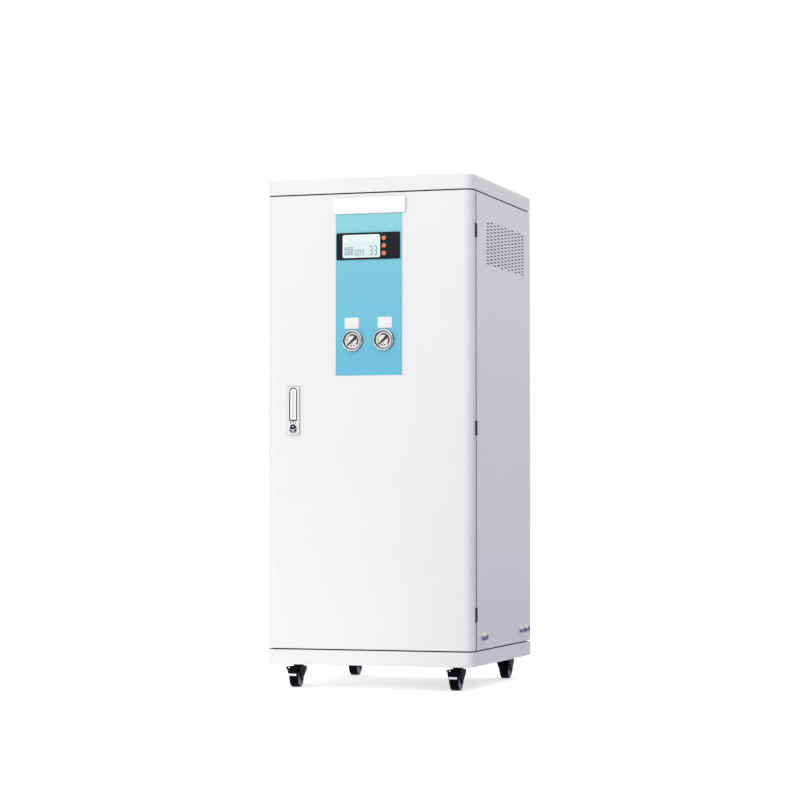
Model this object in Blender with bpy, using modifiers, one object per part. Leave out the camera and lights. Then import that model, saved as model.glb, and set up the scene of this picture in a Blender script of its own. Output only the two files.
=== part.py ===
"""Cabinet water purifier for a dental clinic: a sheet-metal case on casters with a hinged door.

Metres, +Z up. The floor is z = 0, the case is centred on x = 0, y = 0, and its door faces -Y.
"""
import math

import bmesh
import bpy
from mathutils import Matrix, Vector

# Case
case_width = 0.555
case_depth = 0.570
case_height = 1.250
caster_height = 0.062
lid_height = 0.0384
base_height = 0.0379
corner_radius = 0.022
edge_radius = 0.003
sheet = 0.0015
seam = 0.0035
seam_recess = 0.010
tray_lip = 0.018
neck_radius = 0.004
panel_flange = 0.025
back_inset = 0.003
corner_steps = 4

# Clearances
gap = 0.0003
overrun = 0.004
weld_distance = 0.000002
sharp_angle = math.radians(35)
quarter = math.pi / 2
turn = 2 * math.pi

# Door
door_depth = 0.030
door_seam = 0.004
door_lip = 0.020

# Hinges
hinge_heights = (0.193, 0.666, 1.170)
hinge_length = 0.036
hinge_inset = 0.001
hinge_setback = 0.003
knuckle_radius = 0.0042
hinge_pin_radius = 0.0018
middle_knuckle = 0.012
leaf_thickness = 0.002
door_leaf_reach = 0.019
body_leaf_reach = 0.034
notch_across = 0.0065
door_notch_depth = 0.008
body_notch_depth = 0.014
knuckle_relief = 0.0008
hinge_sides = 10

# Vent field
vent_forward = 0.251
vent_centre_y = case_depth / 2 - vent_forward
vent_centre_z = 1.146
vent_slot_length = 0.024
vent_slot_height = 0.0034
vent_column_pitch = 0.0345
vent_row_pitch = 0.0087
vent_columns = 11
vent_rows = 13

# Shelf
shelf_height = 0.760
shelf_rim = 0.022
shelf_setback = 0.034

# Overlay sheet and display
overlay_left = -0.088
overlay_right = 0.091
overlay_low = 0.803
overlay_high = 1.218
overlay_thickness = 0.0008
bezel_left = -0.085
bezel_right = 0.086
bezel_low = 1.100
bezel_high = 1.169
bezel_rise = 0.0025
bezel_corner = 0.003
module_margin = 0.006
module_depth = 0.018
lcd_left = -0.068
lcd_right = 0.033
lcd_low = 1.105
lcd_high = 1.164
lcd_thickness = 0.0015
lcd_corner = 0.004
key_x = 0.0435
key_heights = (1.1540, 1.1345, 1.1150)
key_radius = 0.0060
key_rise = 0.0040
key_skirt = 0.0050
key_travel = 0.0010
key_sides = 12

# Gauges
gauge_places = (("left", -0.0416, 0.892), ("right", 0.0423, 0.893))
gauge_radius = 0.028
gauge_rise = 0.0075
dial_radius = 0.0232
dial_depth = 0.0052
lens_depth = 0.0015
lens_thickness = 0.0012
lens_ledge = 0.0010
bezel_roll = 0.0016
case_radius = 0.0250
case_length = 0.024
stem_radius = 0.0065
stem_length = 0.014
needle_hub_radius = 0.0040
needle_thickness = 0.0008
needle_lift = 0.0007
needle_tip_length = 0.0175
needle_tail_length = 0.0100
needle_tip_width = 0.0008
needle_root_width = 0.0024
needle_tail_width = 0.0040
post_radius = 0.0012
needle_rest = math.radians(132)
gauge_sides = 20

# Plane lock
lock_inset = 0.0578
lock_width = 0.0337
lock_left = lock_inset - case_width / 2
lock_right = lock_left + lock_width
lock_low = 0.652
lock_high = 0.7765
lock_rise = 0.0028
lock_corner = 0.002
lock_margin = 0.0034
lock_top_margin = 0.0010
lock_body_depth = 0.0165
handle_width = 0.0160
handle_left = (lock_left + lock_right - handle_width) / 2
handle_right = handle_left + handle_width
handle_low = 0.691
handle_high = 0.771
handle_thickness = 0.0070
handle_gap = 0.0030
handle_pocket = 0.0147
pivot_depth = 0.0024
pivot_radius = 0.0016
pivot_reach = 0.0042
crank_width = 0.008
crank_height = 0.006
crank_slot_rise = 0.004
crank_slot_drop = 0.036
tongue_thickness = 0.003
tongue_height = 0.009
tongue_lap = 0.001
tongue_depth = 0.0415
tongue_tip_inset = 0.0335
tongue_tip_x = tongue_tip_inset - case_width / 2
lock_button_z = 0.6706
lock_button_radius = 0.0090
lock_button_rise = 0.0010
lock_button_length = 0.0120
lock_button_ring = 0.0020
lock_button_ring_rise = 0.0008
lock_button_sides = 16

# Casters
caster_inset_x = 0.0615
front_caster_inset = 0.062
rear_caster_inset = 0.031
caster_x = case_width / 2 - caster_inset_x
front_contact = case_depth / 2 - front_caster_inset
rear_contact = case_depth / 2 - rear_caster_inset
caster_trail = 0.018
wheel_radius = 0.025
wheel_width = 0.0240
wheel_chamfer = 0.003
wheel_dish = 0.0030
wheel_rim = 0.0050
wheel_boss_radius = 0.0085
wheel_sides = 18
axle_radius = 0.0030
fork_side_gap = 0.0006
fork_cheek = 0.0022
fork_crown = 0.0025
crown_clearance = 0.0010
fork_boss_radius = 0.0095
fork_back = 0.015
fork_front = 0.042
fork_shoulder = 0.0105
kingpin_radius = 0.0040
kingpin_head_radius = 0.0060
kingpin_head_height = 0.0018
race_radius = 0.0150
race_taper = 0.0020
plate_side = 0.042
plate_corner = 0.005
plate_thickness = 0.0025
round_sides = 14

# Brake pedals
pedal_pivot_forward = 0.018
pedal_pivot_height = 0.0475
pedal_eye_radius = 0.0032
pedal_pin_radius = 0.0015
pedal_width = 0.0225
pedal_wide = 0.0280
pedal_reach = 0.026
pedal_tip_height = 0.0545
pedal_thickness = 0.0028
pedal_step = 0.006
shoe_thickness = 0.0022
shoe_gap = 0.0035
shoe_bottom = 0.0290
shoe_top = 0.0375

# Ports on the right side
feed_port_inset = 0.092
product_port_inset = 0.107
drain_port_inset = 0.061
feed_port_height = 0.136
outlet_port_height = 0.138
port_places = (("inlet", feed_port_inset - case_depth / 2, feed_port_height),
               ("product", case_depth / 2 - product_port_inset, outlet_port_height),
               ("drain", case_depth / 2 - drain_port_inset, outlet_port_height))
port_body_radius = 0.0062
port_flange_radius = 0.0095
port_flange_thickness = 0.003
port_neck_radius = 0.0078
port_neck_length = 0.008
port_collet_radius = 0.0058
port_collet_length = 0.003
port_bore_radius = 0.0034
port_inner_length = 0.022
port_nut_radius = 0.0100
port_nut_thickness = 0.005
port_sides = 10

# Water parts
head_width_share = 0.630
head_width = case_width * head_width_share
head_depth = 0.085
head_height = 0.042
head_centre_x = 0.010
head_inset = 0.140
head_centre_y = head_inset - case_depth / 2
head_boss_height = 0.014
head_bracket_height = 0.012
head_bracket_inset = 0.025
head_bracket_width = head_width - 2 * head_bracket_inset
head_bracket_depth = 0.030
head_corner = 0.008
bowl_pitch_share = 0.207
bowl_pitch = case_width * bowl_pitch_share
bowl_room = 0.0085
bowl_collar_step = 0.006
bowl_taper = 0.006
bowl_collar_wall = 0.009
bowl_collar_radius = bowl_pitch / 2 - bowl_room
bowl_radius = bowl_collar_radius - bowl_collar_step
bowl_foot_radius = bowl_radius - bowl_taper
head_boss_radius = bowl_collar_radius - bowl_collar_wall
bowl_collar_height = 0.022
bowl_length = 0.255
bowl_wall = 0.003
bowl_dome = 0.012
bowl_sides = 14
tank_x_share = -0.198
tank_x = case_width * tank_x_share
tank_y = 0.095
tank_radius = 0.115
tank_height = 0.365
tank_foot_radius = 0.075
tank_foot_height = 0.020
tank_dome = 0.055
tank_sides = 16
tank_neck_radius = 0.014
tank_neck_height = 0.022
valve_body_radius = 0.0130
valve_body_length = 0.052
valve_outlet_radius = 0.0085
valve_outlet_length = 0.016
valve_stub_radius = 0.0040
valve_stub_height = 0.0060
lever_length = 0.046
lever_width = 0.012
lever_thickness = 0.0035
lever_hub_radius = 0.0085
membrane_x_shares = (("left", -0.352), ("right", -0.159))
membrane_places = [(label, case_width * share) for label, share in membrane_x_shares]
membrane_y = 0.120
membrane_cap_share = 0.088
membrane_cap_step = 0.006
membrane_cap_radius = case_width * membrane_cap_share
membrane_radius = membrane_cap_radius - membrane_cap_step
membrane_length = 0.345

membrane_cap_height = 0.038
membrane_stub_radius = 0.0075
membrane_stub_length = 0.016
column_x_share = 0.035
column_x = case_width * column_x_share
column_cap_share = 0.086
column_cap_step = 0.003
column_cap_radius = case_width * column_cap_share
column_radius = column_cap_radius - column_cap_step
column_length = 0.330
column_cap_height = 0.024
column_stub_radius = 0.0075
column_stub_length = 0.018
vessel_sides = 14
pump_x_share = 0.270
pump_x = case_width * pump_x_share
pump_y = 0.085
pump_axis_height = 0.066
pump_motor_radius = 0.046
pump_motor_length = 0.110
pump_head_radius = 0.040
pump_head_length = 0.058
pump_neck_radius = 0.030
pump_neck_length = 0.012
pump_end_radius = 0.036
pump_end_length = 0.012
pump_foot_width = 0.090
pump_foot_thickness = 0.006
pump_web_width = 0.050
pump_foot_length = 0.120

# Electrics
box_width_share = 0.270
box_width = case_width * box_width_share
box_depth = 0.150
box_height = 0.230
box_wall_room = 0.0375
box_x = case_width / 2 - box_wall_room - box_width / 2
box_rear_room = 0.060
box_y = case_depth / 2 - box_rear_room - box_depth / 2
box_corner = 0.006
box_lid_rise = 0.004
box_lid_margin = 0.008
inlet_inset = 0.0975
inlet_x = case_width / 2 - inlet_inset
inlet_z = 0.870
inlet_width = 0.028
inlet_height = 0.058
inlet_flange = 0.005
inlet_rise = 0.003
inlet_depth = 0.026
inlet_corner = 0.003
socket_width = 0.021
socket_height = 0.016
socket_offset = 0.0155
socket_depth = 0.014
rocker_offset = 0.0145
rocker_width = 0.0150
rocker_height = 0.0200
rocker_pocket_depth = 0.0100
rocker_axle_depth = 0.0030
rocker_axle_radius = 0.0015
rocker_axle_reach = 0.0012
rocker_face = 0.0040
rocker_dip = 0.0015
rocker_back = 0.0035
rocker_tilt = math.radians(8)
rocker_room = 0.0006

# Tubes
tube_radius = 0.0048
tube_steps = 9
feed_pull = 0.22
product_pull = 0.36

# Levels and faces of the case
right_x = case_width / 2
left_x = -right_x
front_y = -case_depth / 2
rear_y = case_depth / 2
base_under = caster_height
base_top = base_under + base_height
case_top = base_under + case_height
lid_under = case_top - lid_height
body_low = base_top + seam
body_high = lid_under - seam
door_back = front_y + door_depth
body_front = door_back + door_seam
neck_front = door_depth + door_seam + edge_radius
panel_rear = rear_y - sheet - gap
tray_floor = base_under + sheet
hinge_x = right_x - hinge_inset
hinge_y = door_back - hinge_setback
overlay_back = front_y - gap
overlay_front = overlay_back - overlay_thickness
mounting_y = overlay_front - gap

views = {"plan": (0, 0, 0), "front": (quarter, 0, 0), "side": (quarter, 0, quarter)}


def collection(name):
    """A named collection under the scene's own."""
    made = bpy.data.collections.new(name)
    bpy.context.scene.collection.children.link(made)
    return made


def clear_scene():
    """An empty scene, with the startup objects and collections gone."""
    for thing in list(bpy.data.objects):
        bpy.data.objects.remove(thing)
    for group in list(bpy.data.collections):
        bpy.data.collections.remove(group)


def paint(name, colour, roughness, metallic=0.0, alpha=1.0):
    """A Principled material of one colour, made once for each name."""
    if name in bpy.data.materials:
        return bpy.data.materials[name]
    material = bpy.data.materials.new(name)
    material.use_nodes = True
    shader = material.node_tree.nodes["Principled BSDF"]
    shader.inputs["Base Color"].default_value = (*colour, 1.0)
    shader.inputs["Roughness"].default_value = roughness
    shader.inputs["Metallic"].default_value = metallic
    shader.inputs["Alpha"].default_value = alpha
    return material


def powder_coat():
    return paint("white_powder_coat", (0.86, 0.86, 0.85), 0.45)


def zinc():
    return paint("zinc_plated_steel", (0.62, 0.63, 0.65), 0.35, 1.0)


def chrome():
    return paint("chromed_steel", (0.80, 0.81, 0.83), 0.12, 1.0)


def black_nylon():
    return paint("black_nylon", (0.012, 0.012, 0.016), 0.28)


def white_plastic():
    return paint("white_polypropylene", (0.80, 0.82, 0.84), 0.40)


def blue_plastic():
    return paint("blue_polypropylene", (0.05, 0.20, 0.55), 0.38)


def link(name, mesh, material, centre=(0, 0, 0), turned_by=(0, 0, 0)):
    """A part in the parts' collection, shaded smooth over its rounds."""
    part = bpy.data.objects.new(name, mesh)
    parts.objects.link(part)
    part.location = centre
    part.rotation_euler = turned_by
    if not mesh.materials:
        mesh.materials.append(material)
    mesh.shade_smooth()
    mesh.set_sharp_from_angle(angle=sharp_angle)
    return part


def close_mesh(mesh):
    """Welds a baked shape and points its faces outwards."""
    work = bmesh.new()
    work.from_mesh(mesh)
    bmesh.ops.remove_doubles(work, verts=work.verts, dist=weld_distance)
    bmesh.ops.recalc_face_normals(work, faces=work.faces)
    work.to_mesh(mesh)
    work.free()
    return mesh


def baked(thing, name):
    """The evaluated mesh of an object, which is then removed."""
    bpy.context.view_layer.update()
    graph = bpy.context.evaluated_depsgraph_get()
    mesh = bpy.data.meshes.new_from_object(thing.evaluated_get(graph))
    mesh.name = name
    bpy.data.objects.remove(thing)
    return mesh


def box_mesh(name, size, centre=(0, 0, 0)):
    """A block of a given size about a centre."""
    mesh = bpy.data.meshes.new(name)
    work = bmesh.new()
    place = Matrix.Translation(Vector(centre)) @ Matrix.Diagonal((*size, 1.0))
    bmesh.ops.create_cube(work, size=1.0, matrix=place)
    work.to_mesh(mesh)
    work.free()
    return mesh


def span_mesh(name, low, high):
    """A block between two opposite corners."""
    size = [b - a for a, b in zip(low, high)]
    centre = [(a + b) / 2 for a, b in zip(low, high)]
    return box_mesh(name, size, centre)


def flat_mesh(name, outlines, thickness):
    """A flat outline, with any holes, drawn in XY and thickened about z = 0."""
    curve = bpy.data.curves.new(name, "CURVE")
    curve.dimensions = "2D"
    curve.fill_mode = "BOTH"
    curve.extrude = thickness / 2
    for outline in outlines:
        spline = curve.splines.new("POLY")
        spline.points.add(len(outline) - 1)
        for point, (x, y) in zip(spline.points, outline):
            point.co = (x, y, 0, 1)
        spline.use_cyclic_u = True
    holder = bpy.data.objects.new(name, curve)
    parts.objects.link(holder)
    return close_mesh(baked(holder, name))


def turned_mesh(name, profile, sides):
    """A profile of (radius, height) points spun about Z."""
    mesh = bpy.data.meshes.new(name + "_profile")
    points = [(radius, 0, height) for radius, height in profile]
    edges = [(i, i + 1) for i in range(len(points) - 1)]
    if profile[0][0] > 0:
        edges.append((len(points) - 1, 0))
    mesh.from_pydata(points, edges, [])
    holder = bpy.data.objects.new(name, mesh)
    parts.objects.link(holder)
    spin = holder.modifiers.new("Spin", "SCREW")
    spin.steps = sides
    spin.render_steps = sides
    spin.use_merge_vertices = True
    spin.merge_threshold = weld_distance
    return close_mesh(baked(holder, name))


def tube_mesh(name, points, radius):
    """A round tube with closed ends along a list of points."""
    curve = bpy.data.curves.new(name, "CURVE")
    curve.dimensions = "3D"
    curve.bevel_depth = radius
    curve.bevel_resolution = 2
    curve.use_fill_caps = True
    spline = curve.splines.new("POLY")
    spline.points.add(len(points) - 1)
    for point, place in zip(spline.points, points):
        point.co = (*place, 1)
    holder = bpy.data.objects.new(name, curve)
    parts.objects.link(holder)
    return close_mesh(baked(holder, name))


def placed(mesh, centre=(0, 0, 0), turned_by=(0, 0, 0)):
    """The same mesh, moved and turned in its own data."""
    from_euler = Matrix.LocRotScale(Vector(centre), euler(turned_by), None)
    mesh.transform(from_euler)
    return mesh


def euler(angles):
    """A rotation from three angles about X, Y and Z, in that order."""
    about_x, about_y, about_z = angles
    spin = Matrix.Rotation(about_z, 3, "Z") @ Matrix.Rotation(about_y, 3, "Y")
    return (spin @ Matrix.Rotation(about_x, 3, "X")).to_quaternion()


def tool(part, mesh, operation):
    """Joins a mesh to a part, cuts it away, or keeps what both share."""
    cutter = bpy.data.objects.new(mesh.name, mesh)
    cutters.objects.link(cutter)
    cutter.hide_render = True
    cutter.display_type = "WIRE"
    cutter.matrix_world = Matrix.LocRotScale(part.location, part.rotation_euler, None)
    step = part.modifiers.new(operation.title(), "BOOLEAN")
    step.operation = operation
    step.solver = "EXACT"
    step.object = cutter
    return part


def join(part, mesh):
    return tool(part, mesh, "UNION")


def cut(part, mesh):
    return tool(part, mesh, "DIFFERENCE")


def shared(part):
    """A part's finished mesh, for it and its copies; the part and its tools are removed."""
    used = [step.object for step in part.modifiers if step.type == "BOOLEAN"]
    place = part.matrix_world.copy()
    part.location = (0, 0, 0)
    part.rotation_euler = (0, 0, 0)
    for cutter in used:
        cutter.matrix_world = Matrix.Identity(4)
    name = part.name
    mesh = baked(part, name)
    for cutter in used:
        bpy.data.objects.remove(cutter)
    return mesh, place


def arc(centre, radius, start, end, steps):
    """Points along a round stretch, from one angle to another."""
    angles = [start + (end - start) * i / steps for i in range(steps + 1)]
    return [(centre[0] + radius * math.cos(a), centre[1] + radius * math.sin(a)) for a in angles]


def circle(centre, radius, sides):
    """The corners of a round outline."""
    return arc(centre, radius, 0, turn * (sides - 1) / sides, sides - 1)


def rounded(low, high, radius, steps=3):
    """A rectangle with round corners."""
    (left, bottom), (right, top) = low, high
    corners = ((right - radius, top - radius), (left + radius, top - radius),
               (left + radius, bottom + radius), (right - radius, bottom + radius))
    points = []
    for number, corner in enumerate(corners):
        points += arc(corner, radius, number * quarter, (number + 1) * quarter, steps)
    return points


def footprint(side_inset, front_inset, radius):
    """Plan of the case drawn in: round front corners and square rear ones."""
    right = right_x - side_inset
    front = front_y + front_inset
    rear = rear_y - side_inset
    points = [(right, rear), (-right, rear)]
    points += arc((-right + radius, front + radius), radius, math.pi, 3 * quarter, corner_steps)
    points += arc((right - radius, front + radius), radius, -quarter, 0, corner_steps)
    return points


def loft(work, sections):
    """Faces between matching points of outlines at rising or falling heights; returns the loops."""
    loops = [[work.verts.new((x, y, height)) for x, y in outline] for outline, height in sections]
    for below, above in zip(loops, loops[1:]):
        for i in range(len(below)):
            work.faces.new((below[i - 1], below[i], above[i], above[i - 1]))
    return loops


def folded_tray(name, closed_height, open_height):
    """A folded pan: a closed face, a wall with a rounded edge, and a stepped lip at the open side.

    The pan runs from its closed face towards its open side, up or down.
    """
    way = 1 if open_height > closed_height else -1
    neck = open_height + way * (seam - gap)
    rings = [(edge_radius, edge_radius, corner_radius - edge_radius, closed_height)]
    for step in (1, 2, 3):
        angle = quarter * step / 3
        inset = edge_radius * (1 - math.sin(angle))
        rise = edge_radius * (1 - math.cos(angle))
        rings.append((inset, inset, corner_radius - inset, closed_height + way * rise))
    rings.append((0, 0, corner_radius, open_height))
    rings.append((seam_recess, neck_front, neck_radius, open_height))
    rings.append((seam_recess, neck_front, neck_radius, neck))
    lip = tray_lip - seam_recess
    rings.append((tray_lip, neck_front + lip, neck_radius, neck))
    work = bmesh.new()
    loops = loft(work, [(footprint(*shape), height) for *shape, height in rings])
    face = work.faces.new(loops[0])
    bmesh.ops.recalc_face_normals(work, faces=work.faces)
    if face.normal.z * way > 0:
        bmesh.ops.reverse_faces(work, faces=work.faces)
    mesh = bpy.data.meshes.new(name)
    work.to_mesh(mesh)
    work.free()
    part = link(name, mesh, powder_coat())
    thicken(part)
    return part


def thicken(part, thickness=sheet):
    """Gives an open surface its sheet thickness, inwards."""
    step = part.modifiers.new("Sheet", "SOLIDIFY")
    step.thickness = thickness
    step.offset = -1
    step.use_even_offset = True
    return part


def pan_mesh(name, low, high, open_side, lip=0):
    """An open box of single faces; a lip leaves a border round its open side."""
    mesh = span_mesh(name, low, high)
    work = bmesh.new()
    work.from_mesh(mesh)
    opening = max(work.faces, key=lambda f: f.normal.dot(Vector(open_side)))
    if lip:
        bmesh.ops.inset_individual(work, faces=[opening], thickness=lip, use_even_offset=True)
    bmesh.ops.delete(work, geom=[opening], context="FACES_ONLY")
    work.to_mesh(mesh)
    work.free()
    return mesh


def vent_slots(name, x):
    """The slot field, as one mesh of separate cutters through a side panel."""
    work = bmesh.new()
    size = (panel_flange, vent_slot_length, vent_slot_height)
    for row in range(vent_rows):
        for column in range(vent_columns):
            y = vent_centre_y + (column - (vent_columns - 1) / 2) * vent_column_pitch
            z = vent_centre_z + (row - (vent_rows - 1) / 2) * vent_row_pitch
            z += vent_row_pitch / 2 * (column % 2)
            place = Matrix.Translation((x, y, z)) @ Matrix.Diagonal((*size, 1))
            bmesh.ops.create_cube(work, size=1.0, matrix=place)
    mesh = bpy.data.meshes.new(name)
    work.to_mesh(mesh)
    work.free()
    return mesh


def side_panel(name, side):
    """A folded side panel with its four flanges and, on the right, vent slots, notches and bores."""
    outer = right_x * side
    inner = (right_x - panel_flange) * side
    low = (min(outer, inner), body_front, body_low)
    high = (max(outer, inner), panel_rear, body_high)
    part = link(name, pan_mesh(name, low, high, (-side, 0, 0)), powder_coat())
    thicken(part)
    if side > 0:
        cut(part, vent_slots(name + "_slots", outer))
        for number, height in enumerate(hinge_heights):
            cut(part, hinge_notch(f"body_notch_{number}", height, body_front, body_notch_depth))
        for place, y, z in port_places:
            hole = turned_mesh(f"{place}_bore", rod(port_body_radius + gap, -panel_flange / 2,
                                                    panel_flange / 2), port_sides)
            cut(part, placed(hole, (outer, y, z), (0, quarter, 0)))
    return part


def hinge_notch(name, height, edge_y, depth):
    """Room for a hinge at one edge of the side, on the inner side of that edge."""
    half = hinge_length / 2 + gap * 2
    reach = depth if depth > 0 else -depth
    near = edge_y - (overrun if depth > 0 else reach)
    far = edge_y + (reach if depth > 0 else overrun)
    return span_mesh(name, (right_x - notch_across, near, height - half),
                     (right_x + overrun, far, height + half))


def rod(radius, low, high):
    """Profile of a plain round bar, from its top centre down to its bottom centre."""
    return [(0, high), (radius, high), (radius, low), (0, low)]


def back_panel():
    """The flat rear sheet with the cut-out for the mains inlet."""
    low = (left_x + back_inset, rear_y - sheet, body_low)
    high = (right_x - back_inset, rear_y, body_high)
    part = link("back_panel", span_mesh("back_panel", low, high), powder_coat())
    room = (inlet_width + 2 * gap, panel_flange, inlet_height + 2 * gap)
    return cut(part, box_mesh("inlet_cutout", room, (inlet_x, rear_y, inlet_z)))


def shelf():
    """The inner shelf, a pan turned upside down between the side panels."""
    side = right_x - sheet - gap
    low = (-side, body_front + shelf_setback, shelf_height - shelf_rim)
    high = (side, panel_rear - shelf_setback, shelf_height)
    return thicken(link("shelf", pan_mesh("shelf", low, high, (0, 0, -1)), powder_coat()))


def door():
    """The door: one folded shell with round front edges, returns and a lip round its open back."""
    plan = [(right_x, door_back), (left_x, door_back)]
    plan += arc((left_x + corner_radius, front_y + corner_radius), corner_radius,
                math.pi, 3 * quarter, corner_steps)
    plan += arc((right_x - corner_radius, front_y + corner_radius), corner_radius,
                -quarter, 0, corner_steps)
    mesh = placed(flat_mesh("door", [plan], body_high - body_low), (0, 0, (body_low + body_high) / 2))
    work = bmesh.new()
    work.from_mesh(mesh)
    rear = [f for f in work.faces if f.normal.y > math.cos(sharp_angle)]
    bmesh.ops.dissolve_faces(work, faces=rear)
    bmesh.ops.dissolve_limit(work, angle_limit=weld_distance, verts=work.verts, edges=work.edges)
    opening = max(work.faces, key=lambda f: f.normal.y)
    bmesh.ops.inset_individual(work, faces=[opening], thickness=door_lip, use_even_offset=True)
    bmesh.ops.delete(work, geom=[opening], context="FACES_ONLY")
    work.to_mesh(mesh)
    work.free()
    part = thicken(link("door", mesh, powder_coat(), (hinge_x, hinge_y, 0)))
    placed(mesh, (-hinge_x, -hinge_y, 0))
    for number, height in enumerate(hinge_heights):
        notch = hinge_notch(f"door_notch_{number}", height, door_back, -door_notch_depth)
        cut(part, placed(notch, (-hinge_x, -hinge_y, 0)))
    for label, x, z in gauge_places:
        hole = turned_mesh(f"{label}_gauge_hole", rod(case_radius + gap, -overrun, overrun), gauge_sides)
        cut(part, placed(hole, (x - hinge_x, front_y - hinge_y, z), (quarter, 0, 0)))
    cut(part, placed(module_room("door_display_cutout"), (-hinge_x, -hinge_y, 0)))
    cut(part, placed(lock_room(), (-hinge_x, -hinge_y, 0)))
    return part


def module_room(name):
    """The opening that the display's rear module passes through."""
    margin = module_margin - gap
    return span_mesh(name, (bezel_left + margin, front_y - overrun, bezel_low + margin),
                     (bezel_right - margin, front_y + overrun, bezel_high - margin))


def lock_room():
    """The opening in the door's face for the body of the lock."""
    margin = lock_margin - gap
    return span_mesh("door_lock_cutout", (lock_left + margin, front_y - overrun, lock_low + margin),
                     (lock_right - margin, front_y + overrun, lock_high - lock_top_margin + gap))


def hinge_body_leaf(name, height):
    """A hinge's fixed half: a plate inside the side panel, the middle knuckle and the pin."""
    half = hinge_length / 2
    neck = middle_knuckle / 2
    throat = body_front + body_notch_depth / 2 - hinge_y
    outline = [(0, -neck), (throat, -neck), (throat, -half), (body_leaf_reach, -half),
               (body_leaf_reach, half), (throat, half), (throat, neck), (0, neck)]
    plate = flat_mesh(name, [outline], leaf_thickness)
    inside = hinge_inset - sheet - gap - leaf_thickness / 2
    part = link(name, placed(plate, (inside, 0, 0), views["side"]), zinc(), (hinge_x, hinge_y, height))
    profile = [(0, half), (hinge_pin_radius, half), (hinge_pin_radius, neck), (knuckle_radius, neck),
               (knuckle_radius, -neck), (hinge_pin_radius, -neck), (hinge_pin_radius, -half), (0, -half)]
    return join(part, turned_mesh(name + "_knuckle", profile, hinge_sides))


def hinge_door_leaf(name, height):
    """A hinge's moving half: a plate behind the door's lip with an upper and a lower knuckle."""
    half = hinge_length / 2
    relief = middle_knuckle / 2 + gap
    clear = knuckle_radius + knuckle_relief
    inner = -door_leaf_reach
    outline = [(inner, -half), (0, -half), (0, -relief), (-clear, -relief), (-clear, relief),
               (0, relief), (0, half), (inner, half)]
    plate = flat_mesh(name, [outline], leaf_thickness)
    behind = hinge_setback - sheet - gap - leaf_thickness / 2
    part = link(name, placed(plate, (0, behind, 0), views["front"]), zinc(), (hinge_x, hinge_y, height))
    for label, low in (("upper", relief), ("lower", -half)):
        barrel = rod(knuckle_radius, low, low + half - relief)
        join(part, turned_mesh(f"{name}_{label}", barrel, hinge_sides))
    bore = rod(hinge_pin_radius + gap, -half - overrun, half + overrun)
    return cut(part, turned_mesh(name + "_bore", bore, hinge_sides))


def overlay():
    """The thin printed sheet on the door, cut out for the display and the gauges."""
    holes = [circle((x, z), case_radius + gap, gauge_sides) for label, x, z in gauge_places]
    margin = module_margin - gap
    window = [(bezel_left + margin, bezel_low + margin), (bezel_right - margin, bezel_low + margin),
              (bezel_right - margin, bezel_high - margin), (bezel_left + margin, bezel_high - margin)]
    edge = [(overlay_left, overlay_low), (overlay_right, overlay_low),
            (overlay_right, overlay_high), (overlay_left, overlay_high)]
    mesh = flat_mesh("overlay", [edge, window] + holes, overlay_thickness)
    placed(mesh, (0, (overlay_front + overlay_back) / 2, 0), views["front"])
    return link("overlay", mesh, paint("printed_polycarbonate", (0.20, 0.65, 0.78), 0.35))


def display_bezel():
    """The display's dark frame with its rear module, LCD seat and three key bores."""
    front = mounting_y - bezel_rise
    frame = flat_mesh("display_bezel", [rounded((bezel_left, bezel_low), (bezel_right, bezel_high),
                                                bezel_corner)], bezel_rise)
    placed(frame, (0, (front + mounting_y) / 2, 0), views["front"])
    part = link("display_bezel", frame, paint("navy_abs", (0.012, 0.018, 0.032), 0.30))
    margin = module_margin
    join(part, span_mesh("display_module", (bezel_left + margin, front + bezel_rise / 2, bezel_low + margin),
                         (bezel_right - margin, mounting_y + module_depth, bezel_high - margin)))
    seat = rounded((lcd_left - gap, lcd_low - gap), (lcd_right + gap, lcd_high + gap), lcd_corner)
    pocket = flat_mesh("lcd_seat", [seat], 2 * (lcd_thickness + gap))
    cut(part, placed(pocket, (0, front, 0), views["front"]))
    depth = key_skirt + key_travel + gap
    for number, height in enumerate(key_heights, 1):
        bore = turned_mesh(f"key_bore_{number}", rod(key_radius + gap, -depth, overrun), key_sides)
        cut(part, placed(bore, (key_x, front, height), (quarter, 0, 0)))
    return part


def lcd():
    """The display's glass, flush with its frame."""
    front = mounting_y - bezel_rise
    shape = rounded((lcd_left, lcd_low), (lcd_right, lcd_high), lcd_corner)
    mesh = flat_mesh("lcd", [shape], lcd_thickness)
    placed(mesh, (0, front + lcd_thickness / 2, 0), views["front"])
    return link("lcd", mesh, paint("backlit_lcd", (0.78, 0.88, 0.84), 0.15))


def keys():
    """Three domed push buttons in the display's frame."""
    front = mounting_y - bezel_rise
    dome = [(key_radius * math.sin(a), key_rise / 2 + key_rise / 2 * math.cos(a))
            for a in (0, quarter / 3, 2 * quarter / 3, quarter)]
    profile = dome + [(key_radius, -key_skirt), (0, -key_skirt)]
    mesh = turned_mesh("key", profile, key_sides)
    orange = paint("orange_abs", (0.80, 0.24, 0.10), 0.30)
    for number, height in enumerate(key_heights, 1):
        link(f"key_{number}", mesh, orange, (key_x, front, height), (quarter, 0, 0))


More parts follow.
